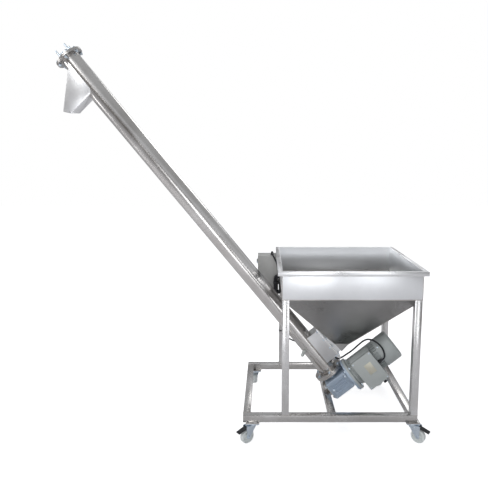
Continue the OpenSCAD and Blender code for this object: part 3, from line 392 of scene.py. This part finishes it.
def finishPiece(piece, name, body, look, smooth=35):
    settle(piece)
    piece.name = name
    piece.data.name = name
    piece.data.materials.clear()
    piece.data.materials.append(finish[look])
    bpy.ops.object.shade_smooth_by_angle(angle=radians(smooth))
    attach(piece, body)
    return piece


def joined(pieces):
    bpy.ops.object.select_all(action="DESELECT")
    for piece in pieces:
        piece.select_set(True)
    bpy.context.view_layer.objects.active = pieces[0]
    if len(pieces) > 1:
        bpy.ops.object.join()
    return bpy.context.object


def roundBar(place, turn, radius, depth, bevel=0.0008, sides=32):
    # a turned piece with broken edges, its middle at place
    bpy.ops.object.select_all(action="DESELECT")
    bpy.ops.mesh.primitive_cylinder_add(
        vertices=sides, radius=radius, depth=depth, location=place, rotation=turn
    )
    piece = bpy.context.object
    settle(piece)
    if bevel:
        bevelEdges(piece, bevel, angle=50)
    return piece


def block(place, turn, size, bevel=0.001):
    bpy.ops.object.select_all(action="DESELECT")
    bpy.ops.mesh.primitive_cube_add(size=1, location=place, rotation=turn)
    piece = bpy.context.object
    piece.scale = size
    settle(piece)
    if bevel:
        bevelEdges(piece, bevel, angle=50)
    return piece


def ring(place, turn, radius, thick, around=64):
    bpy.ops.object.select_all(action="DESELECT")
    bpy.ops.mesh.primitive_torus_add(
        location=place,
        rotation=turn,
        major_radius=radius,
        minor_radius=thick,
        major_segments=around,
        minor_segments=10,
    )
    piece = bpy.context.object
    settle(piece)
    return piece


def bead(points, radius, closed=False):
    # a round bar drawn through the points and turned into a mesh
    bpy.ops.object.select_all(action="DESELECT")
    bpy.ops.curve.primitive_bezier_curve_add()
    piece = bpy.context.object
    curve = piece.data
    curve.splines.clear()
    line = curve.splines.new("POLY")
    line.points.add(len(points) - 1)
    for spot, point in zip(line.points, points):
        spot.co = (*point, 1)
    line.use_cyclic_u = closed
    curve.dimensions = "3D"
    curve.bevel_depth = radius
    curve.bevel_resolution = 2
    curve.use_fill_caps = not closed
    bpy.ops.object.convert(target="MESH")
    piece = bpy.context.object
    settle(piece)
    return piece


def softened(node, width, look, body="frame"):
    # the same shape as the CAD piece, with its sharp edges broken
    source = nodes[node]
    piece = source.copy()
    piece.data = source.data.copy()
    piece.parent = None
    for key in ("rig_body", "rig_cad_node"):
        if key in piece:
            del piece[key]
    bpy.context.scene.collection.objects.link(piece)
    only(piece)
    bpy.ops.mesh.customdata_custom_splitnormals_clear()
    bpy.ops.object.mode_set(mode="EDIT")
    bpy.ops.mesh.select_all(action="SELECT")
    bpy.ops.mesh.remove_doubles(threshold=0.00002)
    bpy.ops.mesh.dissolve_limited(angle_limit=radians(0.5))
    bpy.ops.object.mode_set(mode="OBJECT")
    bevelEdges(piece, width)
    finishPiece(piece, node + "Soft", body, look)
    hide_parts(node)
    return piece


def paint(node, look):
    mesh = nodes[node].data
    if not mesh.materials:
        mesh.materials.append(finish[look])
    for index in range(len(mesh.materials)):
        mesh.materials[index] = finish[look]


carriedLooks = {
    "rail_end_caps": "frameSteel",
    "gearbox_bracket": "frameSteel",
    "hopper_cone": "coneSteelPaintedShade",
    "hopper_spout": "ductSteel",
    "inlet_gasket": "gasketRubber",
    "auger_tube": "tubeSteel",
    "cleanout_hinge": "turnedSteel",
    "cleanout_door": "tubeSteel",
    "cleanout_latch": "paleKnob",
    "screw_shaft": "turnedSteel",
    "screw_flight": "ductSteel",
    "worm_wheel": "bronze",
    "motor_housing": "motorPaint",
    "motor_fan_cover": "motorPaint",
    "motor_shaft": "turnedSteel",
    "motor_fan": "blackPlastic",
    "cable_glands": "blackPlastic",
    "cable_ties": "blackPlastic",
    "box_hinge_pins": "zincPlate",
    "start_button": "greenCap",
    "stop_button": "redCap",
}
corners = ("front_left", "front_right", "rear_left", "rear_right")
for node, look in carriedLooks.items():
    paint(node, look)
for corner in corners:
    paint("wheel_" + corner, "wheelPlastic")

softLooks = {
    "base_long_rails": (0.003, "frameSteel", "satin_frame"),
    "base_cross_rails": (0.003, "frameSteel", "satin_frame"),
    "hopper_legs": (0.003, "legSteel", "satin_frame"),
    "caster_pads": (0.0012, "frameSteel", "satin_frame"),
    "hopper_skirt": (0.0008, "skirtSteel", "bright_sheet"),
    "hopper_rim": (0.0014, "rimSteel", "bright_sheet"),
    "inlet_box": (0.0006, "ductSteel", "satin_sheet"),
    "tube_flanges": (0.0008, "turnedSteel", "machined_steel"),
    "end_flange": (0.0008, "turnedSteel", "machined_steel"),
    "head_plate": (0.0008, "turnedSteel", "machined_steel"),
    "head_bearing": (0.0012, "zincPlate", "zinc"),
    "hex_bolts": (0.0006, "zincPlate", "zinc"),
    "discharge_chute": (0.0006, "chuteSteel", "bright_sheet"),
    "gearbox_housing": (0.002, "gearboxPaint", "gearbox_paint"),
    "gearbox_cover": (0.0015, "gearboxPaint", "gearbox_paint"),
    "cap_screws": (0.0005, "zincPlate", "zinc"),
    "motor_flange": (0.0015, "motorPaint", "motor_paint"),
    "terminal_box": (0.0015, "motorPaint", "motor_paint"),
    "terminal_lid": (0.002, "lidPaint", "motor_paint"),
    "control_box": (0.0015, "boxPaint", "box_paint"),
    "box_brackets": (0.0008, "frameSteel", "satin_frame"),
    "caster_plates": (0.0008, "zincPlate", "zinc"),
}
for node, (width, look, slot) in softLooks.items():
    softened(node, width, look)
softened("control_door", 0.0012, "boxPaint", "control_door")
softened("main_switch", 0.0015, "blackPlastic", "main_switch")
for corner in corners:
    fork, pedal = "fork_" + corner, "pedal_" + corner
    softened(fork, 0.0008, "zincPlate", fork)
    softened(pedal, 0.0015, "blackPlastic", pedal)
print("carried-over pieces finished")


motorLead = {
    "radius": 0.005,
    "low": [
        (222, -160, 395), (233, -160, 404), (238, -160, 418), (235, -160, 440), (224, -158, 466),
        (205, -157, 490), (172, -152, 513), (140, -143, 518), (112, -131, 502), (82, -115, 467),
        (52, -98, 430), (24, -80, 400), (4, -62, 377), (-13, -38, 357), (-24, -14, 347),
        (-30, 16, 343), (-34, 46, 344), (-46, 74, 350), (-72, 98, 356), (-105, 126, 354),
        (-150, 172, 348), (-205, 228, 344), (-258, 282, 344), (-300, 322, 348), (-326, 348, 360),
        (-334, 360, 385), (-334, 360, 430), (-334, 360, 520), (-334, 360, 610), (-334, 358, 664),
        (-334, 346, 700), (-334, 326, 724), (-334, 300, 738), (-336, 276, 746), (-345, 259, 751),
        (-363.8, 254, 752),
    ],
    "high": [
        (-392, 254, 822.2), (-392, 254, 850), (-395, 253, 880), (-402, 251, 908), (-412, 250, 930),
        (-421, 254, 946), (-427, 266, 956), (-429, 282, 960), (-429, 306.8, 960),
    ],
}


def smoothLine(points, steps=6):
    # a curve through every point
    line = []
    last = len(points) - 1
    for i in range(last):
        a, b = points[max(i - 1, 0)], points[i]
        c, d = points[i + 1], points[min(i + 2, last)]
        for k in range(steps):
            t = k / steps
            line.append(
                0.5 * (2 * b + (c - a) * t + (2 * a - 5 * b + 4 * c - d) * t * t
                       + (3 * b - a - 3 * c + d) * t ** 3)
            )
    return line + [points[last]]


def makeLead(lead):
    runs = []
    for part in ("low", "high"):
        runs.append(bead(smoothLine([onFrame(*p) for p in lead[part]]), lead["radius"]))
    piece = finishPiece(joined(runs), "motorLead", "frame", "cableSheath", 60)
    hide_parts("motor_cable")


makeLead(motorLead)

hank = {
    "x": -392, "y": 254, "low": 692, "high": 822, "half": 28,
    "radius": 5, "layers": 3, "pitch": 10.4, "loops": (22.5, 12.0), "sway": 0.8,
}


def makeHank(setup):
    # flat loops of the spare lead, nested in each other and three deep
    loops = []
    low, high = setup["low"] + setup["half"], setup["high"] - setup["half"]
    for layer in range(setup["layers"]):
        y = setup["y"] + (layer - (setup["layers"] - 1) / 2) * setup["pitch"]
        for reach in setup["loops"]:
            path = []
            for k in range(13):
                a = pi + pi * k / 12
                path.append(onFrame(setup["x"] + reach * cos(a), y, low + reach * sin(a)))
            for k in range(13):
                a = pi * k / 12
                sway = setup["sway"] * sin(layer * 2.1 + k)
                path.append(onFrame(setup["x"] + reach * cos(a) + sway, y, high + reach * sin(a)))
            loops.append(bead(path, setup["radius"] * mm, closed=True))
    piece = finishPiece(joined(loops), "leadHank", "frame", "cableSheath", 60)
    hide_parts("cable_hank")


makeHank(hank)
print("motor lead and hank made")


hopperWelds = {
    "half": 380, "sheet": 2.5,
    "skirtLow": 826, "skirtTop": 961,
    "spoutHalf": 42, "spoutTop": 450.6,
    "bead": 0.0022, "fineBead": 0.00176,
}


def makeHopperWelds(setup):
    half, low, radius = setup["half"], setup["skirtLow"], setup["bead"]
    signs = [(-1, -1), (1, -1), (1, 1), (-1, 1)]

    def corner(sign, reach, z):
        return onFrame(sign[0] * reach, sign[1] * reach, z)

    beads = [
        bead([corner(sign, reach, z) for sign in signs], radius, closed=True)
        for reach, z in ((half, low), (half - setup["sheet"], low + 1))
    ]
    for sign in signs:
        spout = corner(sign, setup["spoutHalf"], setup["spoutTop"])
        beads.append(bead([spout, corner(sign, half, low)], radius))
    for sign in signs:
        top = corner(sign, half, setup["skirtTop"])
        beads.append(bead([corner(sign, half, low), top], setup["fineBead"]))
    finishPiece(joined(beads), "hopperWelds", "frame", "weldSteel")


makeHopperWelds(hopperWelds)

frameWelds = {
    "legs": [(x, y) for x in (-360, 360) for y in (-360, 360)],
    "cross": (-577, -92.4, 360),
    "crossEnd": 340,
    "railTop": 160,
    "railLow": 120,
    "side": 20,
    "bead": 0.0021,
}


def makeFrameWelds(setup):
    side, low, top = setup["side"], setup["railLow"], setup["railTop"]
    loops = []
    for x, y in setup["legs"]:
        turns = ((-side, -side), (side, -side), (side, side), (-side, side))
        loops.append([onFrame(x + a, y + b, top) for a, b in turns])
    for x in setup["cross"]:
        for y in (-setup["crossEnd"], setup["crossEnd"]):
            turns = ((-side, low), (side, low), (side, top), (-side, top))
            loops.append([onFrame(x + a, y, z) for a, z in turns])
    beads = [bead(loop, setup["bead"], closed=True) for loop in loops]
    finishPiece(joined(beads), "frameWelds", "frame", "weldSteel")


makeFrameWelds(frameWelds)

tubeWelds = {
    "radius": 55,
    "rings": [(11, 2.4), (2425, 2.2), (1215, 0.7)],  # place up the tube, bead radius
    "inlet": (57, 259, 50),  # foot, head and half width of the inlet box
    "bead": 0.0016,
}


def makeTubeWelds(setup):
    radius, thin = setup["radius"], setup["bead"]
    beads = [
        ring(onAuger(0, 0, s), augerTurn, radius * mm, thick * mm, 72)
        for s, thick in setup["rings"]
    ]
    low, high, half = setup["inlet"]
    rise = (radius ** 2 - half ** 2) ** 0.5
    for side in (-half, half):
        beads.append(bead([onAuger(rise, side, low), onAuger(rise, side, high)], thin))
    arc = [radians(a) for a in range(-65, 66, 5)]
    for s in (low, high):
        beads.append(bead([onAuger(radius * cos(a), radius * sin(a), s) for a in arc], thin))
    finishPiece(joined(beads), "tubeWelds", "frame", "weldSteel")


makeTubeWelds(tubeWelds)
print("welds laid")


washers = {"foot": (82, 11.8, 6), "head": (71, 2441.7, 6), "radius": 11, "thick": 1.6}


def makeWashers(setup):
    pieces = []
    for reach, s, count in (setup["foot"], setup["head"]):
        for k in range(count):
            a = radians(30 + k * 360 / count)
            pieces.append(
                roundBar(
                    onAuger(reach * cos(a), reach * sin(a), s), augerTurn,
                    setup["radius"] * mm, setup["thick"] * mm, 0.0003, 24,
                )
            )
    finishPiece(joined(pieces), "flangeWashers", "frame", "zincPlate")


makeWashers(washers)

headEnd = {
    "top": 2441,
    "collar": {"rise": 32.6, "radius": 0.019, "depth": 0.005, "rim": 0.003, "sink": 0.0012},
    "studs": {"reach": 32, "rise": 22, "threads": 9, "pitch": 3.4, "radius": 0.0047},
    "nipple": (30, 20, 2452),
    "nippleSteps": ((1.06, 3.4, 5), (1.2, 2.2, 5), (1.3, 2.9, 3)),  # reach, radius, length
}


def makeCollar(place, collar):
    # locking collar on the shaft stub, with a sunk end face
    piece = roundBar(place, augerTurn, collar["radius"], collar["depth"], 0.001, 48)
    only(piece)
    bpy.ops.object.mode_set(mode="EDIT")
    bpy.ops.mesh.select_all(action="DESELECT")
    bpy.ops.object.mode_set(mode="OBJECT")
    face = max(piece.data.polygons, key=lambda f: f.normal.dot(augerUp) * len(f.vertices))
    face.select = True
    bpy.ops.object.mode_set(mode="EDIT")
    bpy.ops.mesh.inset(thickness=collar["rim"])
    bpy.ops.transform.translate(value=augerUp * -collar["sink"])
    bpy.ops.object.mode_set(mode="OBJECT")
    return piece


def makeHeadEnd(setup):
    # the collar, threads on the bearing's studs, and a grease nipple
    top, studs = setup["top"], setup["studs"]
    pieces = [makeCollar(onAuger(0, 0, top + setup["collar"]["rise"]), setup["collar"])]
    reach = studs["reach"]
    for x, y in ((-reach, -reach), (-reach, reach), (reach, -reach), (reach, reach)):
        for k in range(studs["threads"]):
            place = onAuger(x, y, top + studs["rise"] + k * studs["pitch"])
            pieces.append(ring(place, augerTurn, studs["radius"], 0.0006, 20))
    n, y, s = setup["nipple"]
    out = aimed(onAuger(n, y, s) - onAuger(0, 0, s))
    for reach, radius, depth in setup["nippleSteps"]:
        place = onAuger(n * reach, y * reach, s)
        pieces.append(roundBar(place, out, radius * mm, depth * mm, 0.0004, 12))
    finishPiece(joined(pieces), "headEndDetails", "frame", "zincPlate")


makeHeadEnd(headEnd)

gearboxTrim = {
    "front": {"y": -102.6, "low": -122, "pitch": 17, "count": 5, "size": (0.088, 0.004, 0.004)},
    "side": {"n": -66.6, "places": (-130, -88, -46), "size": (0.003, 0.07, 0.005)},
    "plugs": ((64, -104, -60), (-44, -104, -88)),
}


def makeGearboxTrim(setup):
    # ribs on the front and side walls, and two screwed plugs
    front, side = setup["front"], setup["side"]
    ribs = []
    for k in range(front["count"]):
        place = onAuger(6, front["y"], front["low"] + k * front["pitch"])
        ribs.append(block(place, augerTurn, front["size"], 0.0012))
    for s in side["places"]:
        ribs.append(block(onAuger(side["n"], 30, s), augerTurn, side["size"], 0.001))
    finishPiece(joined(ribs), "gearboxRibs", "frame", "gearboxPaint")
    plugs = []
    for n, y, s in setup["plugs"]:
        plugs.append(roundBar(onAuger(n, y - 0.5, s), facingBack, 0.0085, 0.003, 0.0006, 32))
        plugs.append(roundBar(onAuger(n, y - 3.5, s), facingBack, 0.0062, 0.005, 0.0006, 6))
    finishPiece(joined(plugs), "gearboxPlugs", "frame", "zincPlate")


makeGearboxTrim(gearboxTrim)

motorTrim = {
    "beads": ((323, 0.092, 0.0014, 96), (419, 0.071, 0.0011, 72), (419.4, 0.012, 0.001, 40)),
    "screws": {"z": 332, "reach": 93, "count": 4},
    "lid": {"front": -137, "left": -108, "right": 94, "low": 148, "high": 284, "corner": 4},
    "plate": {"place": (-20, 226), "size": (0.07, 0.0012, 0.046), "edge": (-52, 12, 206, 246)},
}


def makeMotorTrim(setup):
    # rolled beads and screws on the fan cover, the lid's sealing line and its blank plate
    rolled = [
        ring(onMotor(0, 0, z), motorTurn, radius, thick, around)
        for z, radius, thick, around in setup["beads"]
    ]
    finishPiece(joined(rolled), "fanCoverBeads", "frame", "motorPaint")

    screws, pieces = setup["screws"], []
    centre = onMotor(0, 0, screws["z"])
    for k in range(screws["count"]):
        a = radians(45 + 360 * k / screws["count"])
        spot = onMotor(screws["reach"] * cos(a), screws["reach"] * sin(a), screws["z"])
        pieces.append(roundBar(spot, aimed(spot - centre), 0.0045, 0.004, 0.0012, 24))
    finishPiece(joined(pieces), "fanCoverScrews", "frame", "zincPlate")

    lid = setup["lid"]
    x0, x1, z0, z1, cut = (lid[side] for side in ("left", "right", "low", "high", "corner"))
    loop = [
        (x0 + cut, z0), (x1 - cut, z0), (x1, z0 + cut), (x1, z1 - cut),
        (x1 - cut, z1), (x0 + cut, z1), (x0, z1 - cut), (x0, z0 + cut),
    ]
    seal = bead([onMotor(a, lid["front"] + 12, b) for a, b in loop], 0.0011, closed=True)
    finishPiece(seal, "lidSeal", "frame", "blackPlastic")

    plate = setup["plate"]
    x, z = plate["place"]
    blank = block(onMotor(x, lid["front"] - 0.5, z), motorTurn, plate["size"], 0.0004)
    x0, x1, z0, z1 = plate["edge"]
    loop = ((x0, z0), (x1, z0), (x1, z1), (x0, z1))
    edge = bead([onMotor(a, lid["front"] - 1, b) for a, b in loop], 0.0005, closed=True)
    finishPiece(joined([blank, edge]), "blankPlate", "frame", "plate")


makeMotorTrim(motorTrim)

controlTrim = {
    "left": -525, "right": -388, "back": 393, "low": 695, "high": 945,
    "lock": {"inset": 14, "z": 770},
    "switchDrop": 60,
    "collarGap": 0.0024,
}


def makeControlTrim(setup):
    # the box's sealing line, the door's quarter-turn lock, and rings round buttons and switch
    x0, x1, back = setup["left"], setup["right"], setup["back"]
    low, high = setup["low"], setup["high"]
    loop = ((x0, low), (x1, low), (x1, high), (x0, high))
    seal = bead([onFrame(x, back - 4.2, z) for x, z in loop], 0.0013, closed=True)
    finishPiece(seal, "controlBoxSeal", "frame", "blackPlastic")

    lockX, lockZ = x1 - setup["lock"]["inset"], setup["lock"]["z"]
    lock = roundBar(onFrame(lockX, back + 1.5, lockZ), facingBack, 0.008, 0.004, 0.001)
    keyBar = block(onFrame(lockX, back + 3.6, lockZ), flat, (0.0022, 0.001, 0.01), 0.0003)
    finishPiece(joined([lock, keyBar]), "doorLock", "control_door", "zincPlate")

    collars = []
    for button in ("start_button", "stop_button"):
        lowest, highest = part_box(button)
        centre = (lowest + highest) / 2
        centre.y = onFrame(0, back + 0.8, 0).y
        radius = (highest.x - lowest.x) / 2 + setup["collarGap"]
        collars.append(ring(centre, facingBack, radius, 0.0014, 40))
    finishPiece(joined(collars), "buttonCollars", "control_door", "zincPlate")

    place = onFrame((x0 + x1) / 2, back + 0.9, high - setup["switchDrop"])
    plate = ring(place, facingBack, 0.021, 0.0009, 48)
    finishPiece(plate, "switchPlate", "control_door", "boxPaint")


makeControlTrim(controlTrim)
print("hardware made")


caster = {
    "wheelHalf": 0.013, "grooves": (0.0325, 0.03),
    "hub": (0.0142, 0.0125, 0.0016),  # place along the axle, radius, thickness
    "washer": (0.0196, 0.0105, 0.0014),
    "race": (0.0245, 0.0016),
}


def makeCasterDetails(corner, setup):
    roll = joints["roll_" + corner]
    axle, across = Vector(roll["pos_m"]), Vector(roll["axis"])
    turn = aimed(across)
    sides = (-1, 1)

    def pair(row, bevel, around):
        along, radius, thick = row
        return [
            roundBar(axle + across * side * along, turn, radius, thick, bevel, around)
            for side in sides
        ]

    grooves = [
        ring(axle + across * side * setup["wheelHalf"], turn, radius, 0.0009, 56)
        for side in sides
        for radius in setup["grooves"]
    ]
    name, body = "wheelRings_" + corner, "wheel_" + corner
    hubs = pair(setup["hub"], 0.0005, 36)
    finishPiece(joined(grooves + hubs), name, body, "wheelPlastic")

    axleWashers = pair(setup["washer"], 0.0003, 32)
    swivel = Vector(joints["swivel_" + corner]["pos_m"])
    race = ring(swivel + Vector((0, 0, 0.0002)), flat, *setup["race"], 56)
    name, body = "casterRace_" + corner, "fork_" + corner
    finishPiece(joined(axleWashers + [race]), name, body, "zincPlate")


for corner in corners:
    makeCasterDetails(corner, caster)
print("casters finished")


studio = {
    "floor": 30,
    "lift": 0.62,
    "lights": [
        # place, what it points at, width and height, power, tint
        ((-2.6, -3.4, 4.2), (0.3, 0, 0.8), (2.4, 2.4), 70, (1, 1, 1)),
        ((1.2, 3.2, 3.6), (0.4, 0, 0.9), (2.0, 2.0), 35, (1, 1, 1)),
        ((-0.3, -5.2, 0.7), (-0.3, 0, 0.7), (1.5, 2.6), 34, (0.95, 0.97, 1)),
        ((2.3, -5.0, 0.7), (2.3, 0, 0.7), (1.1, 2.6), 22, (0.95, 0.97, 1)),
        ((-4.2, -0.6, 1.6), (0, 0, 1.2), (1.0, 2.4), 22, (1, 1, 1)),
    ],
}


def makeStage(setup):
    bpy.ops.object.select_all(action="DESELECT")
    bpy.ops.mesh.primitive_plane_add(size=setup["floor"], location=(0, 0, 0))
    floor = bpy.context.object
    floor.name = "floor"
    material, tree, shader = blankMaterial("floorPaper")
    shader.inputs["Base Color"].default_value = (0.78, 0.77, 0.78, 1)
    shader.inputs["Roughness"].default_value = 0.9
    paper = addNode(tree, "ShaderNodeBsdfDiffuse")
    paper.inputs["Color"].default_value = (0.95, 0.95, 0.95, 1)
    glow = addNode(tree, "ShaderNodeEmission")
    glow.inputs["Strength"].default_value = setup["lift"]
    lit = addNode(tree, "ShaderNodeAddShader")
    seen = addNode(tree, "ShaderNodeMixShader")
    path = addNode(tree, "ShaderNodeLightPath")
    link = tree.links.new
    link(paper.outputs["BSDF"], lit.inputs[0])
    link(glow.outputs["Emission"], lit.inputs[1])
    link(path.outputs["Is Camera Ray"], seen.inputs["Fac"])
    link(shader.outputs["BSDF"], seen.inputs[1])
    link(lit.outputs["Shader"], seen.inputs[2])
    link(seen.outputs["Shader"], tree.nodes["Material Output"].inputs["Surface"])
    floor.data.materials.append(material)


def areaLight(place, target, size, power, tint):
    bpy.ops.object.light_add(type="AREA", location=place)
    light = bpy.context.object
    light.data.shape = "RECTANGLE"
    light.data.size, light.data.size_y = size
    light.data.energy = power
    light.data.color = tint
    light.rotation_euler = (Vector(target) - Vector(place)).to_track_quat("-Z", "Y").to_euler()
    light.visible_camera = False


def makeWorld():
    # bright overhead, a darker band at eye height for the steel to mirror, white to the camera
    world = bpy.data.worlds.new("studio")
    bpy.context.scene.world = world
    world.use_nodes = True
    tree = world.node_tree
    tree.nodes.clear()
    link = tree.links.new
    place = addNode(tree, "ShaderNodeTexCoord")
    split = addNode(tree, "ShaderNodeSeparateXYZ")
    ramp = addNode(tree, "ShaderNodeValToRGB")
    levels = [
        (0.0, (0.5, 0.49, 0.5)), (0.47, (0.32, 0.3, 0.29)), (0.5, (0.12, 0.11, 0.1)),
        (0.54, (0.16, 0.15, 0.14)), (0.6, (0.36, 0.36, 0.37)), (0.7, (0.82, 0.84, 0.88)),
        (0.8, (0.5, 0.51, 0.52)), (1.0, (0.62, 0.63, 0.65)),
    ]
    ramp.color_ramp.elements.remove(ramp.color_ramp.elements[0])
    ramp.color_ramp.elements[0].position = levels[0][0]
    ramp.color_ramp.elements[0].color = (*levels[0][1], 1)
    for position, colour in levels[1:]:
        ramp.color_ramp.elements.new(position).color = (*colour, 1)
    height = addNode(tree, "ShaderNodeMapRange")
    height.inputs["From Min"].default_value = -1
    soft = addNode(tree, "ShaderNodeBackground")
    white = addNode(tree, "ShaderNodeBackground")
    white.inputs["Color"].default_value = (1, 1, 1, 1)
    soft.inputs["Strength"].default_value = 0.8
    mix = addNode(tree, "ShaderNodeMixShader")
    path = addNode(tree, "ShaderNodeLightPath")
    end = addNode(tree, "ShaderNodeOutputWorld")
    link(place.outputs["Generated"], split.inputs["Vector"])
    link(split.outputs["Z"], height.inputs["Value"])
    link(height.outputs["Result"], ramp.inputs["Fac"])
    link(ramp.outputs["Color"], soft.inputs["Color"])
    link(path.outputs["Is Camera Ray"], mix.inputs["Fac"])
    link(soft.outputs["Background"], mix.inputs[1])
    link(white.outputs["Background"], mix.inputs[2])
    link(mix.outputs["Shader"], end.inputs["Surface"])


makeStage(studio)
for place, target, size, power, tint in studio["lights"]:
    areaLight(place, target, size, power, tint)
makeWorld()
bpy.context.scene.view_settings.view_transform = "Standard"
print("stage lit")
